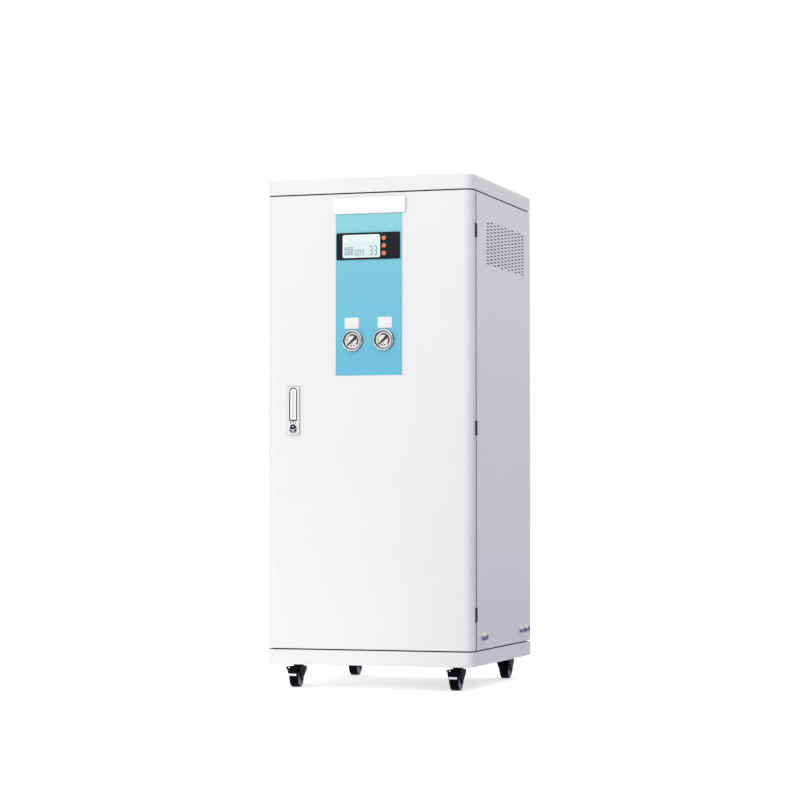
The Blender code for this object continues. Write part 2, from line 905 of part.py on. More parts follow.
def gauge_case_mesh():
    """Turned case of a panel gauge: rolled bezel, lens seat, dial, flange, case and stem."""
    face = gauge_rise - dial_depth
    seat = gauge_rise - lens_depth - lens_thickness - gap
    post = face + needle_lift + needle_thickness + gap
    window = dial_radius + lens_ledge + gap
    profile = [(0, post), (post_radius, post), (post_radius, face), (dial_radius, face),
               (dial_radius, seat), (window, seat), (window, gauge_rise - bezel_roll / 2),
               (window + bezel_roll, gauge_rise), (gauge_radius - bezel_roll, gauge_rise),
               (gauge_radius, gauge_rise - bezel_roll), (gauge_radius, 0), (case_radius, 0),
               (case_radius, -case_length), (stem_radius, -case_length),
               (stem_radius, -case_length - stem_length), (0, -case_length - stem_length)]
    return turned_mesh("gauge_case", profile, gauge_sides)


def needle_mesh():
    """A tapered needle with its counterweight tail and a bored hub."""
    tip = needle_tip_width / 2
    root = needle_root_width / 2
    tail = needle_tail_width / 2
    side = math.asin(root / needle_hub_radius)
    back = math.asin(tail / needle_hub_radius)
    hub_left = arc((0, 0), needle_hub_radius, side, math.pi - back, corner_steps)
    hub_right = arc((0, 0), needle_hub_radius, math.pi + back, turn - side, corner_steps)
    outline = [(needle_tip_length, -tip), (needle_tip_length, tip)] + hub_left
    outline += [(-needle_tail_length, tail), (-needle_tail_length, -tail)] + hub_right
    hole = circle((0, 0), post_radius + gap, port_sides)
    return flat_mesh("gauge_needle", [outline, hole], needle_thickness)


def gauges():
    """Two panel gauges, each a case, a needle on its post and a glass lens."""
    case = gauge_case_mesh()
    needle = needle_mesh()
    centre = gauge_rise - lens_depth - lens_thickness / 2
    half = lens_thickness / 2
    pane = rod(dial_radius + lens_ledge, centre - half, centre + half)
    glass = turned_mesh("gauge_lens", pane, gauge_sides)
    lift = gauge_rise - dial_depth + needle_lift + needle_thickness / 2
    clear = paint("clear_glass", (0.92, 0.95, 0.96), 0.05, 0.0, 0.25)
    for label, x, z in gauge_places:
        link(f"gauge_case_{label}", case, chrome(), (x, mounting_y, z), (quarter, 0, 0))
        link(f"gauge_lens_{label}", glass, clear, (x, mounting_y, z), (quarter, 0, 0))
        hand = link(f"gauge_needle_{label}", needle, paint("black_enamel", (0.02, 0.02, 0.02), 0.4),
                    (x, mounting_y - lift, z))
        hand.rotation_euler = (Matrix.Rotation(quarter, 3, "X")
                               @ Matrix.Rotation(quarter + needle_rest, 3, "Z")).to_euler()


def lock_plate():
    """The lock's housing: face plate, body through the door, handle pocket, pivots and button bore."""
    front = front_y - gap - lock_rise
    face = flat_mesh("lock_plate", [rounded((lock_left, lock_low), (lock_right, lock_high),
                                            lock_corner)], lock_rise)
    placed(face, (0, front + lock_rise / 2, 0), views["front"])
    part = link("lock_plate", face, white_plastic())
    join(part, span_mesh("lock_body",
                         (lock_left + lock_margin, front + lock_rise / 2, lock_low + lock_margin),
                         (lock_right - lock_margin, front + lock_body_depth, lock_high - lock_top_margin)))
    button_x = (lock_left + lock_right) / 2
    hoop = turned_mesh("button_ring", rod(lock_button_radius + lock_button_ring,
                                          -lock_rise / 2, lock_button_ring_rise), lock_button_sides)
    join(part, placed(hoop, (button_x, front, lock_button_z), (quarter, 0, 0)))
    pocket = flat_mesh("handle_pocket", [handle_outline(handle_gap)], 2 * handle_pocket)
    cut(part, placed(pocket, (0, front, 0), views["front"]))
    slot = (crank_width + 2 * knuckle_relief, 2 * lock_body_depth, crank_slot_drop)
    pivot_z = handle_pivot_height()
    middle = (handle_left + handle_right) / 2
    slot_z = pivot_z + crank_slot_rise - crank_slot_drop / 2
    cut(part, box_mesh("crank_slot", slot, (middle, front + lock_body_depth, slot_z)))
    pivot_hole = rod(pivot_radius + gap, -half_pivot() - gap, half_pivot() + gap)
    hole = turned_mesh("pivot_hole", pivot_hole, port_sides)
    cut(part, placed(hole, (middle, front + pivot_depth, pivot_z), (0, quarter, 0)))
    bore = turned_mesh("button_bore", rod(lock_button_radius + gap, -2 * lock_body_depth, lock_body_depth),
                       lock_button_sides)
    return cut(part, placed(bore, (button_x, front, lock_button_z), (quarter, 0, 0)))


def handle_pivot_height():
    """Height of the handle's pivot, at the centre of its round top end."""
    return handle_high - (handle_right - handle_left) / 2


def half_pivot():
    """Half the length of the handle's pivot, from its middle to the tip in the housing."""
    return (handle_right - handle_left) / 2 + pivot_reach


def handle_outline(grow):
    """The handle seen from the front: a round top end and a straight bottom."""
    radius = (handle_right - handle_left) / 2 + grow
    middle = (handle_left + handle_right) / 2
    top = arc((middle, handle_high - radius + grow), radius, 0, math.pi, 2 * corner_steps)
    return top + [(middle - radius, handle_low - grow), (middle + radius, handle_low - grow)]


def lock_handle():
    """The tilting handle with its pivot, the crank through the housing and the tongue."""
    front = front_y - gap - lock_rise
    pivot = Vector(((handle_left + handle_right) / 2, front + pivot_depth, handle_pivot_height()))
    plate = flat_mesh("lock_handle", [handle_outline(0)], handle_thickness)
    placed(plate, (0, front + handle_thickness / 2, 0), views["front"])
    part = link("lock_handle", placed(plate, -pivot), white_plastic(), pivot)
    join(part, placed(turned_mesh("handle_pivot", rod(pivot_radius, -half_pivot(), half_pivot()), port_sides),
                      (0, 0, 0), (0, quarter, 0)))
    half = crank_width / 2
    back = front + tongue_depth - pivot.y
    inside = front - pivot.y + handle_thickness * 2 / 3
    join(part, span_mesh("crank", (-half, inside, -crank_height / 2), (half, back, crank_height / 2)))
    tip = tongue_tip_x - pivot.x
    return join(part, span_mesh("tongue", (tip, back - tongue_thickness, -tongue_height / 2),
                                (half / 2, back + tongue_lap, tongue_height / 2)))


def lock_button():
    """The round key button below the handle."""
    front = front_y - gap - lock_rise
    rim = lock_button_rise + lock_button_ring_rise
    shoulder = lock_button_radius - edge_radius / 2
    profile = [(0, rim), (shoulder, rim), (lock_button_radius, rim - edge_radius / 3),
               (lock_button_radius, -lock_button_length), (0, -lock_button_length)]
    mesh = turned_mesh("lock_button", profile, lock_button_sides)
    middle = (lock_left + lock_right) / 2
    return link("lock_button", mesh, paint("navy_enamel", (0.010, 0.020, 0.075), 0.25),
                (middle, front, lock_button_z), (quarter, 0, 0))


def caster_levels():
    """Heights in a caster: axle, underside and top of the fork's crown, underside of the plate."""
    rim = wheel_radius / math.cos(math.pi / wheel_sides)
    crown_under = wheel_radius + rim + crown_clearance
    crown_top = crown_under + fork_crown
    plate_under = base_under - gap - plate_thickness
    return wheel_radius, crown_under, crown_top, plate_under


def caster_plate_mesh():
    """Top plate with its race, kingpin and kingpin head, about the swivel axis."""
    axle_z, crown_under, crown_top, plate_under = caster_levels()
    half = plate_side / 2
    plate = flat_mesh("caster_plate", [rounded((-half, -half), (half, half), plate_corner)], plate_thickness)
    part = link("caster_plate", placed(plate, (0, 0, plate_under + plate_thickness / 2)), zinc())
    head = crown_under - gap
    profile = [(0, plate_under + plate_thickness / 2), (race_radius, plate_under + plate_thickness / 2),
               (race_radius, plate_under - race_taper), (race_radius - race_taper, crown_top + gap),
               (kingpin_radius, crown_top + gap), (kingpin_radius, head), (kingpin_head_radius, head),
               (kingpin_head_radius, head - kingpin_head_height), (0, head - kingpin_head_height)]
    join(part, turned_mesh("kingpin", profile, round_sides))
    return shared(part)[0]


def cheek_outline():
    """Side view of the fork: crown, front shoulder and a leg that rounds off below the axle."""
    axle_z, crown_under, crown_top, plate_under = caster_levels()
    boss = arc((caster_trail, axle_z), fork_boss_radius, math.pi, turn, corner_steps)
    shoulder = crown_top - fork_shoulder
    return [(fork_front, crown_top), (-fork_back, crown_top), (-fork_back, shoulder)] + boss + [
        (fork_front, shoulder)]


def fork_mesh():
    """The fork: two cheeks under a crown, open below, with the kingpin bore and the axle."""
    axle_z, crown_under, crown_top, plate_under = caster_levels()
    inner = wheel_width + 2 * fork_side_gap
    outer = inner + 2 * fork_cheek
    block = placed(flat_mesh("caster_fork", [cheek_outline()], outer), (0, 0, 0), views["side"])
    part = link("caster_fork", block, black_nylon())
    disc = turned_mesh("fork_disc", rod(race_radius + race_taper, crown_under, crown_top), round_sides)
    join(part, disc)
    long = fork_front + fork_back + race_radius
    room = box_mesh("fork_room", (inner, 2 * long, crown_under), (0, 0, crown_under / 2))
    cut(part, room)
    bore = rod(kingpin_radius + gap, crown_under - overrun, crown_top + overrun)
    cut(part, turned_mesh("kingpin_bore", bore, round_sides))
    half = inner / 2 + fork_cheek / 2
    axle = turned_mesh("axle", rod(axle_radius, -half, half), port_sides)
    join(part, placed(axle, (0, caster_trail, axle_z), (0, quarter, 0)))
    pin = turned_mesh("pedal_pin", rod(pedal_pin_radius, -half, half), port_sides)
    join(part, placed(pin, (0, caster_trail + pedal_pivot_forward, pedal_pivot_height), (0, quarter, 0)))
    return shared(part)[0]


def wheel_mesh():
    """A moulded wheel with chamfered tread, dished sides, a boss and a bore, about its axle."""
    rim = wheel_radius / math.cos(math.pi / wheel_sides)
    half = wheel_width / 2
    boss = wheel_boss_radius
    inner = rim - wheel_rim
    dish = half - wheel_dish
    bore = axle_radius + gap
    side = [(bore, half), (boss, half), (boss, dish), (inner, dish), (rim - wheel_chamfer, half),
            (rim, half - wheel_chamfer)]
    profile = side + [(radius, -height) for radius, height in reversed(side)]
    mesh = turned_mesh("caster_wheel", profile, wheel_sides)
    placed(mesh, (0, 0, 0), (0, 0, turn / wheel_sides / 2))
    return placed(mesh, (0, 0, 0), (0, quarter, 0))


def pedal_mesh():
    """Brake pedal about its pin: an eye, a tread to step on and a shoe in front of the wheel."""
    rise = pedal_tip_height - pedal_pivot_height
    reach = pedal_reach
    half = pedal_thickness / 2
    tread = [(0, half), (0, -half), (reach, rise - pedal_thickness), (reach, rise)]
    part = link("caster_pedal", placed(flat_mesh("caster_pedal", [tread], pedal_width), (0, 0, 0),
                                       views["side"]), black_nylon())
    step = [(reach - pedal_step, rise), (reach - pedal_step, rise - pedal_thickness * 2),
            (reach, rise - pedal_thickness * 2), (reach, rise)]
    join(part, placed(flat_mesh("pedal_step", [step], pedal_wide), (0, 0, 0), views["side"]))
    eye = turned_mesh("pedal_eye", rod(pedal_eye_radius, -pedal_width / 2, pedal_width / 2), port_sides)
    join(part, placed(eye, (0, 0, 0), (0, quarter, 0)))
    near = wheel_radius + shoe_gap - pedal_pivot_forward
    low = shoe_bottom - pedal_pivot_height
    high = shoe_top - pedal_pivot_height
    root = pedal_thickness
    shoe = [(near, low), (near + shoe_thickness, low), (near + 2 * shoe_thickness, high),
            (near + 2 * shoe_thickness, root), (near - shoe_thickness, root), (near, high)]
    join(part, placed(flat_mesh("pedal_shoe", [shoe], pedal_width), (0, 0, 0), views["side"]))
    bore = turned_mesh("pedal_bore", rod(pedal_pin_radius + gap, -pedal_wide, pedal_wide), port_sides)
    cut(part, placed(bore, (0, 0, 0), (0, quarter, 0)))
    return shared(part)[0]


def casters():
    """Four swivel casters; the two under the door have brake pedals."""
    meshes = caster_plate_mesh(), fork_mesh(), wheel_mesh(), pedal_mesh()
    plate, fork, wheel, pedal = meshes
    for end, way in (("front", -1), ("rear", 1)):
        for hand, side in (("left", -1), ("right", 1)):
            label = f"{end}_{hand}"
            x = side * caster_x
            contact = rear_contact if way > 0 else front_contact
            y = way * (contact - caster_trail)
            facing = (0, 0, 0 if way > 0 else math.pi)
            link(f"caster_plate_{label}", plate, zinc(), (x, y, 0), facing)
            link(f"caster_fork_{label}", fork, black_nylon(), (x, y, 0), facing)
            link(f"caster_wheel_{label}", wheel, black_nylon(), (x, y + way * caster_trail, wheel_radius))
            if end == "front":
                forward = caster_trail + pedal_pivot_forward
                link(f"caster_pedal_{label}", pedal, black_nylon(),
                     (x, y + way * forward, pedal_pivot_height), facing)


def ports():
    """Three push-fit bulkhead fittings through the right side panel."""
    collar = port_flange_thickness + port_neck_length
    tip = collar + port_collet_length
    nut_near = -sheet - gap
    nut_far = nut_near - port_nut_thickness
    profile = [(port_bore_radius, tip), (port_collet_radius, tip), (port_collet_radius, collar),
               (port_neck_radius, collar), (port_neck_radius, port_flange_thickness),
               (port_flange_radius, port_flange_thickness), (port_flange_radius, gap),
               (port_body_radius, gap), (port_body_radius, nut_near), (port_nut_radius, nut_near),
               (port_nut_radius, nut_far), (port_body_radius, nut_far),
               (port_body_radius, -port_inner_length), (port_bore_radius, -port_inner_length)]
    mesh = turned_mesh("port", profile, port_sides)
    for label, y, z in port_places:
        link(f"port_{label}", mesh, white_plastic(), (right_x, y, z), (0, quarter, 0))


def filter_head():
    """The manifold under the shelf: bracket, body and three bosses for the bowls."""
    top = shelf_height - sheet - gap
    bracket_low = top - head_bracket_height
    low = bracket_low - head_height
    half_x = head_width / 2
    half_y = head_depth / 2
    body = flat_mesh("filter_head", [rounded((-half_x, -half_y), (half_x, half_y), head_corner)], head_height)
    centre = (head_centre_x, head_centre_y, 0)
    part = link("filter_head", placed(body, (0, 0, bracket_low - head_height / 2)), white_plastic(), centre)
    join(part, box_mesh("head_bracket", (head_bracket_width, head_bracket_depth, head_bracket_height * 2),
                        (0, 0, top - head_bracket_height)))
    for number in range(3):
        boss = turned_mesh(f"head_boss_{number}", rod(head_boss_radius, low - head_boss_height,
                                                     low + head_boss_height), vessel_sides)
        join(part, placed(boss, ((number - 1) * bowl_pitch, 0, 0)))
    stub = turned_mesh("head_inlet", rod(membrane_stub_radius, -membrane_stub_length, membrane_stub_length),
                       port_sides)
    return join(part, placed(stub, (half_x, 0, low + head_height / 2), (0, quarter, 0)))


def head_low():
    """Underside of the filter head's body."""
    return shelf_height - sheet - gap - head_bracket_height - head_height


def bowls():
    """Three pre-filter bowls that screw up round the head's bosses."""
    top = head_low() - gap
    mouth = head_boss_radius + gap
    floor = top - bowl_length + bowl_wall
    collar = top - bowl_collar_height
    dome = top - bowl_length + bowl_dome
    profile = [(mouth, top), (bowl_collar_radius, top), (bowl_collar_radius, collar),
               (bowl_radius, collar), (bowl_foot_radius, dome),
               (bowl_foot_radius - bowl_dome / 2, dome - bowl_dome * 2 / 3),
               (bowl_foot_radius - bowl_dome, dome - bowl_dome), (0, dome - bowl_dome)]
    inside = [(0, floor), (bowl_foot_radius - bowl_dome, floor), (bowl_foot_radius - bowl_wall, dome),
              (mouth, collar)]
    mesh = turned_mesh("filter_bowl", inside + profile, bowl_sides)
    clear = paint("translucent_blue_san", (0.10, 0.32, 0.62), 0.12)
    for number, label in enumerate(("sediment", "carbon", "polish")):
        link(f"filter_bowl_{label}", mesh, clear,
             (head_centre_x + (number - 1) * bowl_pitch, head_centre_y, 0))


def pressure_tank():
    """The storage tank on its foot, with the neck and body of its ball valve."""
    floor = tray_floor + gap
    foot = floor + tank_foot_height
    top = floor + tank_height
    shoulder = top - tank_dome
    waist = foot + tank_dome
    dome = [(tank_radius * math.sin(a), shoulder + tank_dome * math.cos(a))
            for a in (quarter / 4, quarter / 2, 3 * quarter / 4, quarter)]
    bowl = [(tank_radius * math.cos(a), waist - tank_dome * math.sin(a))
            for a in (0, quarter / 4, quarter / 2)]
    neck = top + tank_neck_height
    profile = [(0, neck), (tank_neck_radius, neck), (tank_neck_radius, top)] + dome + bowl
    profile += [(tank_foot_radius, foot), (tank_foot_radius, floor), (0, floor)]
    part = link("pressure_tank", turned_mesh("pressure_tank", profile, tank_sides), blue_plastic(),
                (tank_x, tank_y, 0))
    axis_z = neck + valve_body_radius / 2
    half = valve_body_length / 2
    outlet = half + valve_outlet_length
    body = [(0, outlet), (valve_outlet_radius, outlet), (valve_outlet_radius, half),
            (valve_body_radius, half), (valve_body_radius, -half), (0, -half)]
    join(part, placed(turned_mesh("valve_body", body, port_sides), (0, 0, axis_z), (0, quarter, 0)))
    stub_top = axis_z + valve_body_radius + valve_stub_height
    return join(part, turned_mesh("valve_stub", rod(valve_stub_radius, axis_z, stub_top), port_sides))


def valve_levels():
    """Axis height of the tank valve and the underside of its lever."""
    axis_z = tray_floor + gap + tank_height + tank_neck_height + valve_body_radius / 2
    return axis_z, axis_z + valve_body_radius + gap


def tank_lever():
    """The valve's lever, lying along the flow when the valve is open."""
    axis_z, under = valve_levels()
    half = lever_width / 2
    spread = math.asin(half / lever_hub_radius)
    hub = arc((0, 0), lever_hub_radius, spread, turn - spread, 2 * corner_steps)
    outline = hub + [(lever_length, -half), (lever_length, half)]
    hole = circle((0, 0), valve_stub_radius + gap, port_sides)
    mesh = flat_mesh("tank_valve_lever", [outline, hole], lever_thickness)
    return link("tank_valve_lever", placed(mesh, (0, 0, lever_thickness / 2)),
                paint("red_nylon", (0.55, 0.04, 0.03), 0.4), (tank_x, tank_y, under))


def vessel(name, x, radius, length, cap_radius, cap_height, stub_radius, stub_length, material):
    """An upright vessel on the shelf with a cap at both ends and a stub on top."""
    low = shelf_height + gap
    high = low + length
    profile = [(0, high + stub_length), (stub_radius, high + stub_length), (stub_radius, high),
               (cap_radius - cap_height / 4, high), (cap_radius, high - cap_height / 4),
               (cap_radius, high - cap_height), (radius, high - cap_height), (radius, low + cap_height),
               (cap_radius, low + cap_height), (cap_radius, low), (0, low)]
    mesh = turned_mesh(name, profile, vessel_sides)
    return link(name, mesh, material, (x, membrane_y, 0))


def vessels():
    """Two membrane housings and the mixed-bed column, standing on the shelf."""
    for label, x in membrane_places:
        vessel(f"membrane_housing_{label}", x, membrane_radius, membrane_length, membrane_cap_radius,
               membrane_cap_height, membrane_stub_radius, membrane_stub_length, white_plastic())
    vessel("polishing_column", column_x, column_radius, column_length, column_cap_radius,
           column_cap_height, column_stub_radius, column_stub_length,
           paint("clear_acrylic", (0.66, 0.50, 0.26), 0.15))


def booster_pump():
    """The pump on its foot in the base tray: motor, neck and head on one axis."""
    front = -pump_motor_length / 2
    rear = pump_motor_length / 2
    neck = front - pump_neck_length
    profile = [(0, rear + pump_end_length), (pump_end_radius, rear + pump_end_length),
               (pump_motor_radius, rear), (pump_motor_radius, front), (pump_neck_radius, front),
               (pump_neck_radius, neck), (pump_head_radius, neck),
               (pump_head_radius, neck - pump_head_length), (0, neck - pump_head_length)]
    floor = tray_floor + gap
    axis_z = floor + pump_axis_height
    body = placed(turned_mesh("booster_pump", profile, vessel_sides), (0, 0, 0), (-quarter, 0, 0))
    part = link("booster_pump", body, paint("cast_aluminium", (0.55, 0.56, 0.58), 0.45, 0.8),
                (pump_x, pump_y, axis_z))
    half = pump_foot_length / 2
    thick = pump_foot_thickness
    join(part, span_mesh("pump_foot", (-pump_foot_width / 2, -half, -pump_axis_height),
                         (pump_foot_width / 2, half, thick - pump_axis_height)))
    web = half - thick
    return join(part, span_mesh("pump_web", (-pump_web_width / 2, -web, thick / 2 - pump_axis_height),
                                (pump_web_width / 2, web, -pump_motor_radius / 2)))


def electrics_box():
    """The closed box of controls and power supply, standing on the shelf."""
    low = shelf_height + gap
    half_x = box_width / 2
    half_y = box_depth / 2
    shape = rounded((-half_x, -half_y), (half_x, half_y), box_corner)
    body = placed(flat_mesh("electrics_box", [shape], box_height), (0, 0, low + box_height / 2))
    grey = paint("grey_painted_steel", (0.45, 0.47, 0.49), 0.5)
    part = link("electrics_box", body, grey, (box_x, box_y, 0))
    margin = box_lid_margin
    return join(part, span_mesh("box_cover", (-half_x + margin, -half_y - box_lid_rise, low + margin),
                                (half_x - margin, 0, low + box_height - margin)))


def mains_inlet():
    """The rear mains inlet: flange, body, pin socket recess and the rocker's pocket."""
    flange_x = inlet_width / 2 + inlet_flange
    flange_z = inlet_height / 2 + inlet_flange
    near = rear_y + gap
    shape = rounded((-flange_x, -flange_z), (flange_x, flange_z), inlet_corner)
    middle = near + inlet_rise / 2
    plate = placed(flat_mesh("mains_inlet", [shape], inlet_rise), (0, middle, 0), views["front"])
    part = link("mains_inlet", plate, paint("black_abs", (0.02, 0.02, 0.022), 0.4), (inlet_x, 0, inlet_z))
    face = near + inlet_rise
    join(part, span_mesh("inlet_body", (-inlet_width / 2, face - inlet_depth, -inlet_height / 2),
                         (inlet_width / 2, near + inlet_rise / 2, inlet_height / 2)))
    socket = (socket_width, 2 * socket_depth, socket_height)
    cut(part, box_mesh("socket_recess", socket, (0, face, -socket_offset)))
    pocket = (rocker_width + 2 * gap, 2 * rocker_pocket_depth, rocker_height + 2 * rocker_room)
    cut(part, box_mesh("rocker_pocket", pocket, (0, face, rocker_offset)))
    half = rocker_width / 2 + rocker_axle_reach + gap
    hole = turned_mesh("rocker_hole", rod(rocker_axle_radius + gap, -half, half), port_sides)
    return cut(part, placed(hole, (0, face - rocker_axle_depth, rocker_offset), (0, quarter, 0)))


def power_rocker():
    """The switch's rocker on its axle, resting in its off position."""
    half = rocker_height / 2
    outline = [(-rocker_back, -half + rocker_back), (rocker_face, -half), (rocker_face - rocker_dip, 0),
               (rocker_face, half), (-rocker_back, half - rocker_back)]
    mesh = placed(flat_mesh("power_rocker", [outline], rocker_width), (0, 0, 0), views["side"])
    placed(mesh, (0, 0, 0), (rocker_tilt, 0, 0))
    face = rear_y + gap + inlet_rise
    part = link("power_rocker", mesh, paint("black_abs", (0.02, 0.02, 0.022), 0.4),
                (inlet_x, face - rocker_axle_depth, inlet_z + rocker_offset))
    reach = rocker_width / 2 + rocker_axle_reach
    axle = turned_mesh("rocker_axle", rod(rocker_axle_radius, -reach, reach), port_sides)
    return join(part, placed(axle, (0, 0, 0), (0, quarter, 0)))


def sweep(start, leave, end, arrive, pull):
    """Points of a smooth route that leaves and arrives in given directions, straight at its ends."""
    leave = Vector(leave)
    arrive = Vector(arrive)
    points = [Vector(start)]
    bend_start = points[0] + leave * 2 * tube_radius
    bend_end = Vector(end) - arrive * 2 * tube_radius
    for step in range(tube_steps + 1):
        t = step / tube_steps
        first = 2 * t ** 3 - 3 * t ** 2 + 1
        last = 3 * t ** 2 - 2 * t ** 3
        out = t ** 3 - 2 * t ** 2 + t
        into = t ** 3 - t ** 2
        points.append(first * bend_start + last * bend_end + (out * leave + into * arrive) * pull)
    return points + [Vector(end)]


def tubes():
    """The feed tube from the inlet port and the product tube to the product port."""
    inner_x = right_x - port_inner_length - gap
    label, feed_y, feed_z = port_places[0]
    head_x = head_centre_x + head_width / 2 + membrane_stub_length + gap
    head = (head_x, head_centre_y, head_low() + head_height / 2)
    feed = sweep((inner_x, feed_y, feed_z), (-1, 0, 0), head, (-1, 0, 0), feed_pull)
    link("feed_tube", tube_mesh("feed_tube", feed, tube_radius), white_plastic())
    label, product_y, product_z = port_places[1]
    outlet_x = tank_x + valve_body_length / 2 + valve_outlet_length + gap
    outlet = (outlet_x, tank_y, valve_levels()[0])
    product = sweep(outlet, (1, 0, 0), (inner_x, product_y, product_z), (1, 0, 0), product_pull)
    link("product_tube", tube_mesh("product_tube", product, tube_radius), blue_plastic())


def build():
    """Every part of the purifier."""
    folded_tray("base_tray", base_under, base_top)
    folded_tray("lid", case_top, lid_under)
    side_panel("side_panel_left", -1)
    side_panel("side_panel_right", 1)
    back_panel()
    shelf()
    door()
    for label, height in zip(("lower", "middle", "upper"), hinge_heights):
        hinge_body_leaf(f"hinge_body_leaf_{label}", height)
        hinge_door_leaf(f"hinge_door_leaf_{label}", height)
    overlay()
    display_bezel()
    lcd()
    keys()
    gauges()
    lock_plate()
    lock_handle()
    lock_button()
    casters()
    ports()
    filter_head()
    bowls()
    pressure_tank()
    tank_lever()
    vessels()
    booster_pump()
    electrics_box()
    mains_inlet()
    power_rocker()
    tubes()


clear_scene()
parts = collection("dental_water_purifier")
cutters = collection("cutters")
build()
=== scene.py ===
"""Looks of the water purifier cabinet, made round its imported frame.

The file is laid out as an add-on. Property groups hold the sizes and colours, one operator makes each
piece or group of like pieces, and main() calls the operators in order. Lengths are in metres.
"""

import math

import bmesh
import bpy
import numpy as np
from bpy.props import FloatProperty, FloatVectorProperty, IntProperty, PointerProperty
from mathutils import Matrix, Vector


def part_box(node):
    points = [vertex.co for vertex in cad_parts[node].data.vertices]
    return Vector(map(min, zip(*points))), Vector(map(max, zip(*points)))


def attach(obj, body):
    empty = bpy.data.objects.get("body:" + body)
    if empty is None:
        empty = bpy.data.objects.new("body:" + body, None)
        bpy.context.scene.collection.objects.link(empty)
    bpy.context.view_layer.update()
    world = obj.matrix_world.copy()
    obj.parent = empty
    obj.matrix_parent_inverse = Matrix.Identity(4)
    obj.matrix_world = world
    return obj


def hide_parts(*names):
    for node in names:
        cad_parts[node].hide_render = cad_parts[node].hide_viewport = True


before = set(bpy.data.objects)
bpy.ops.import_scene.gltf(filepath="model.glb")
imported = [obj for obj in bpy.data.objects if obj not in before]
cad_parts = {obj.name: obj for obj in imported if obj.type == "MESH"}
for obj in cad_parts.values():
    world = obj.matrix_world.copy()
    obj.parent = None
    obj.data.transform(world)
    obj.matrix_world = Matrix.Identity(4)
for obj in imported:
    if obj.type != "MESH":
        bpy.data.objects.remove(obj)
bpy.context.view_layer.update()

bl_info = {
    "name": "Water purifier cabinet",
    "version": (1, 0, 0),
    "blender": (4, 5, 0),
    "location": "3D View > Sidebar > Purifier",
    "description": "Dresses the packed cabinet in its finished surfaces and materials",
    "category": "Object",
}

MM = 0.001
TURN = 2 * math.pi
QUARTER = math.pi / 2
HAIR = 0.05 * MM
WELD = 0.001 * MM

# Columns say where a piece's own x, y and outward z axes point in the cabinet.
UP = np.array([[1, 0, 0], [0, 1, 0], [0, 0, 1]])
DOWN = np.array([[1, 0, 0], [0, -1, 0], [0, 0, -1]])
FRONT = np.array([[1, 0, 0], [0, 0, -1], [0, 1, 0]])
REAR = np.array([[-1, 0, 0], [0, 0, 1], [0, 1, 0]])
RIGHT = np.array([[0, 0, 1], [1, 0, 0], [0, 1, 0]])
LEFT = np.array([[0, 0, -1], [-1, 0, 0], [0, 1, 0]])


def linear(code):
    """An sRGB hex colour as linear RGBA: each channel goes through the sRGB curve."""
    part = np.array([int(code[i:i + 2], 16) for i in (1, 3, 5)]) / 255
    curve = np.where(part <= 0.04045, part / 12.92, ((part + 0.055) / 1.055) ** 2.4)
    return (*curve.tolist(), 1.0)


def length(name, about, default, low=0.0, high=1.0):
    """A property that holds a length."""
    return FloatProperty(name=name, description=about, default=default, min=low, max=high,
                         unit="LENGTH", precision=5)


def colour(name, about, code):
    """A property that holds a colour, given as sRGB hex."""
    return FloatVectorProperty(name=name, description=about, default=linear(code), size=4,
                               subtype="COLOR", min=0, max=1)


class CaseLooks(bpy.types.PropertyGroup):
    """Sheet-metal case."""

    white: colour("White", "Powder coat of the panels", "#EFEDEA")
    peel: length("Orange peel", "Distance between the ripples of the powder coat", 2.6 * MM)
    edge: length("Edge", "Radius on the folded edges", 0.45 * MM)
    gasket: length("Gasket", "Width of the foam strip inside the door", 8 * MM)


class PanelLooks(bpy.types.PropertyGroup):
    """What the door carries on its face."""

    sky_top: colour("Top blue", "Printed sheet at its top edge", "#8AD4DA")
    sky_low: colour("Low blue", "Printed sheet at its bottom edge", "#5EBDD7")
    plate_width: length("Plate width", "Width of the bare name plate", 195 * MM)
    plate_height: length("Plate height", "Height of the bare name plate", 42.5 * MM)
    plate_corner: length("Plate corner", "Corner radius of the bare name plate", 7 * MM)
    sticker_width: length("Sticker width", "Width of the bare label stickers", 38.2 * MM)
    sticker_height: length("Sticker height", "Height of the bare label stickers", 28.5 * MM)
    key: colour("Keys", "Silicone rubber of the three keys", "#F08A5D")
    # The dimple colour is painted shade in the keys' hollows.
    key_dimple_shade: colour("Key centres", "Worn-in dimple of the three keys", "#D0522F")
    bezel: colour("Display frame", "Moulded frame round the display", "#0E141D")
    lcd: colour("Display", "Back-lit glass of the display", "#D3E4DE")
    segment: colour("Segments", "Dark segments of the display", "#5F7F9C")


class GaugeLooks(bpy.types.PropertyGroup):
    """The two panel gauges."""

    dial_radius: length("Dial", "Radius of the white dial", 20.8 * MM)
    arc_radius: length("Arc", "Radius of the coloured arcs", 14.6 * MM)
    low_arc: colour("Low arc", "Arc of the low pressures", "#AEB83A")
    high_arc: colour("High arc", "Arc of the high pressures", "#6E1222")
    sides: IntProperty(name="Sides", description="Facets round a gauge", default=72, min=24, max=128)


class LockLooks(bpy.types.PropertyGroup):
    """The plane lock."""

    white: colour("White", "Enamel of the lock", "#FDFDFC")
    # The strip's grey is painted shade in the handle's recess.
    strip: colour("Strip", "Sunk strip along the handle", "#DCDCDB")
    navy: colour("Cap", "Cap of the key button", "#06134C")


class CasterLooks(bpy.types.PropertyGroup):
    """The four casters."""

    black: colour("Black", "Moulded nylon of the forks and wheels", "#040405")
    sheen: colour("Sheen", "Tint of the light on the wheels", "#A9A6C8")
    # The hub colour is a painted sheen on the black wheels' sides.
    hub: colour("Hub", "Moulded side of the wheels", "#7F7E9E")
    # The shoe's near white is partly a painted highlight.
    shoe: colour("Shoe", "Bright zinc of the brake shoes", "#FAFAFC")


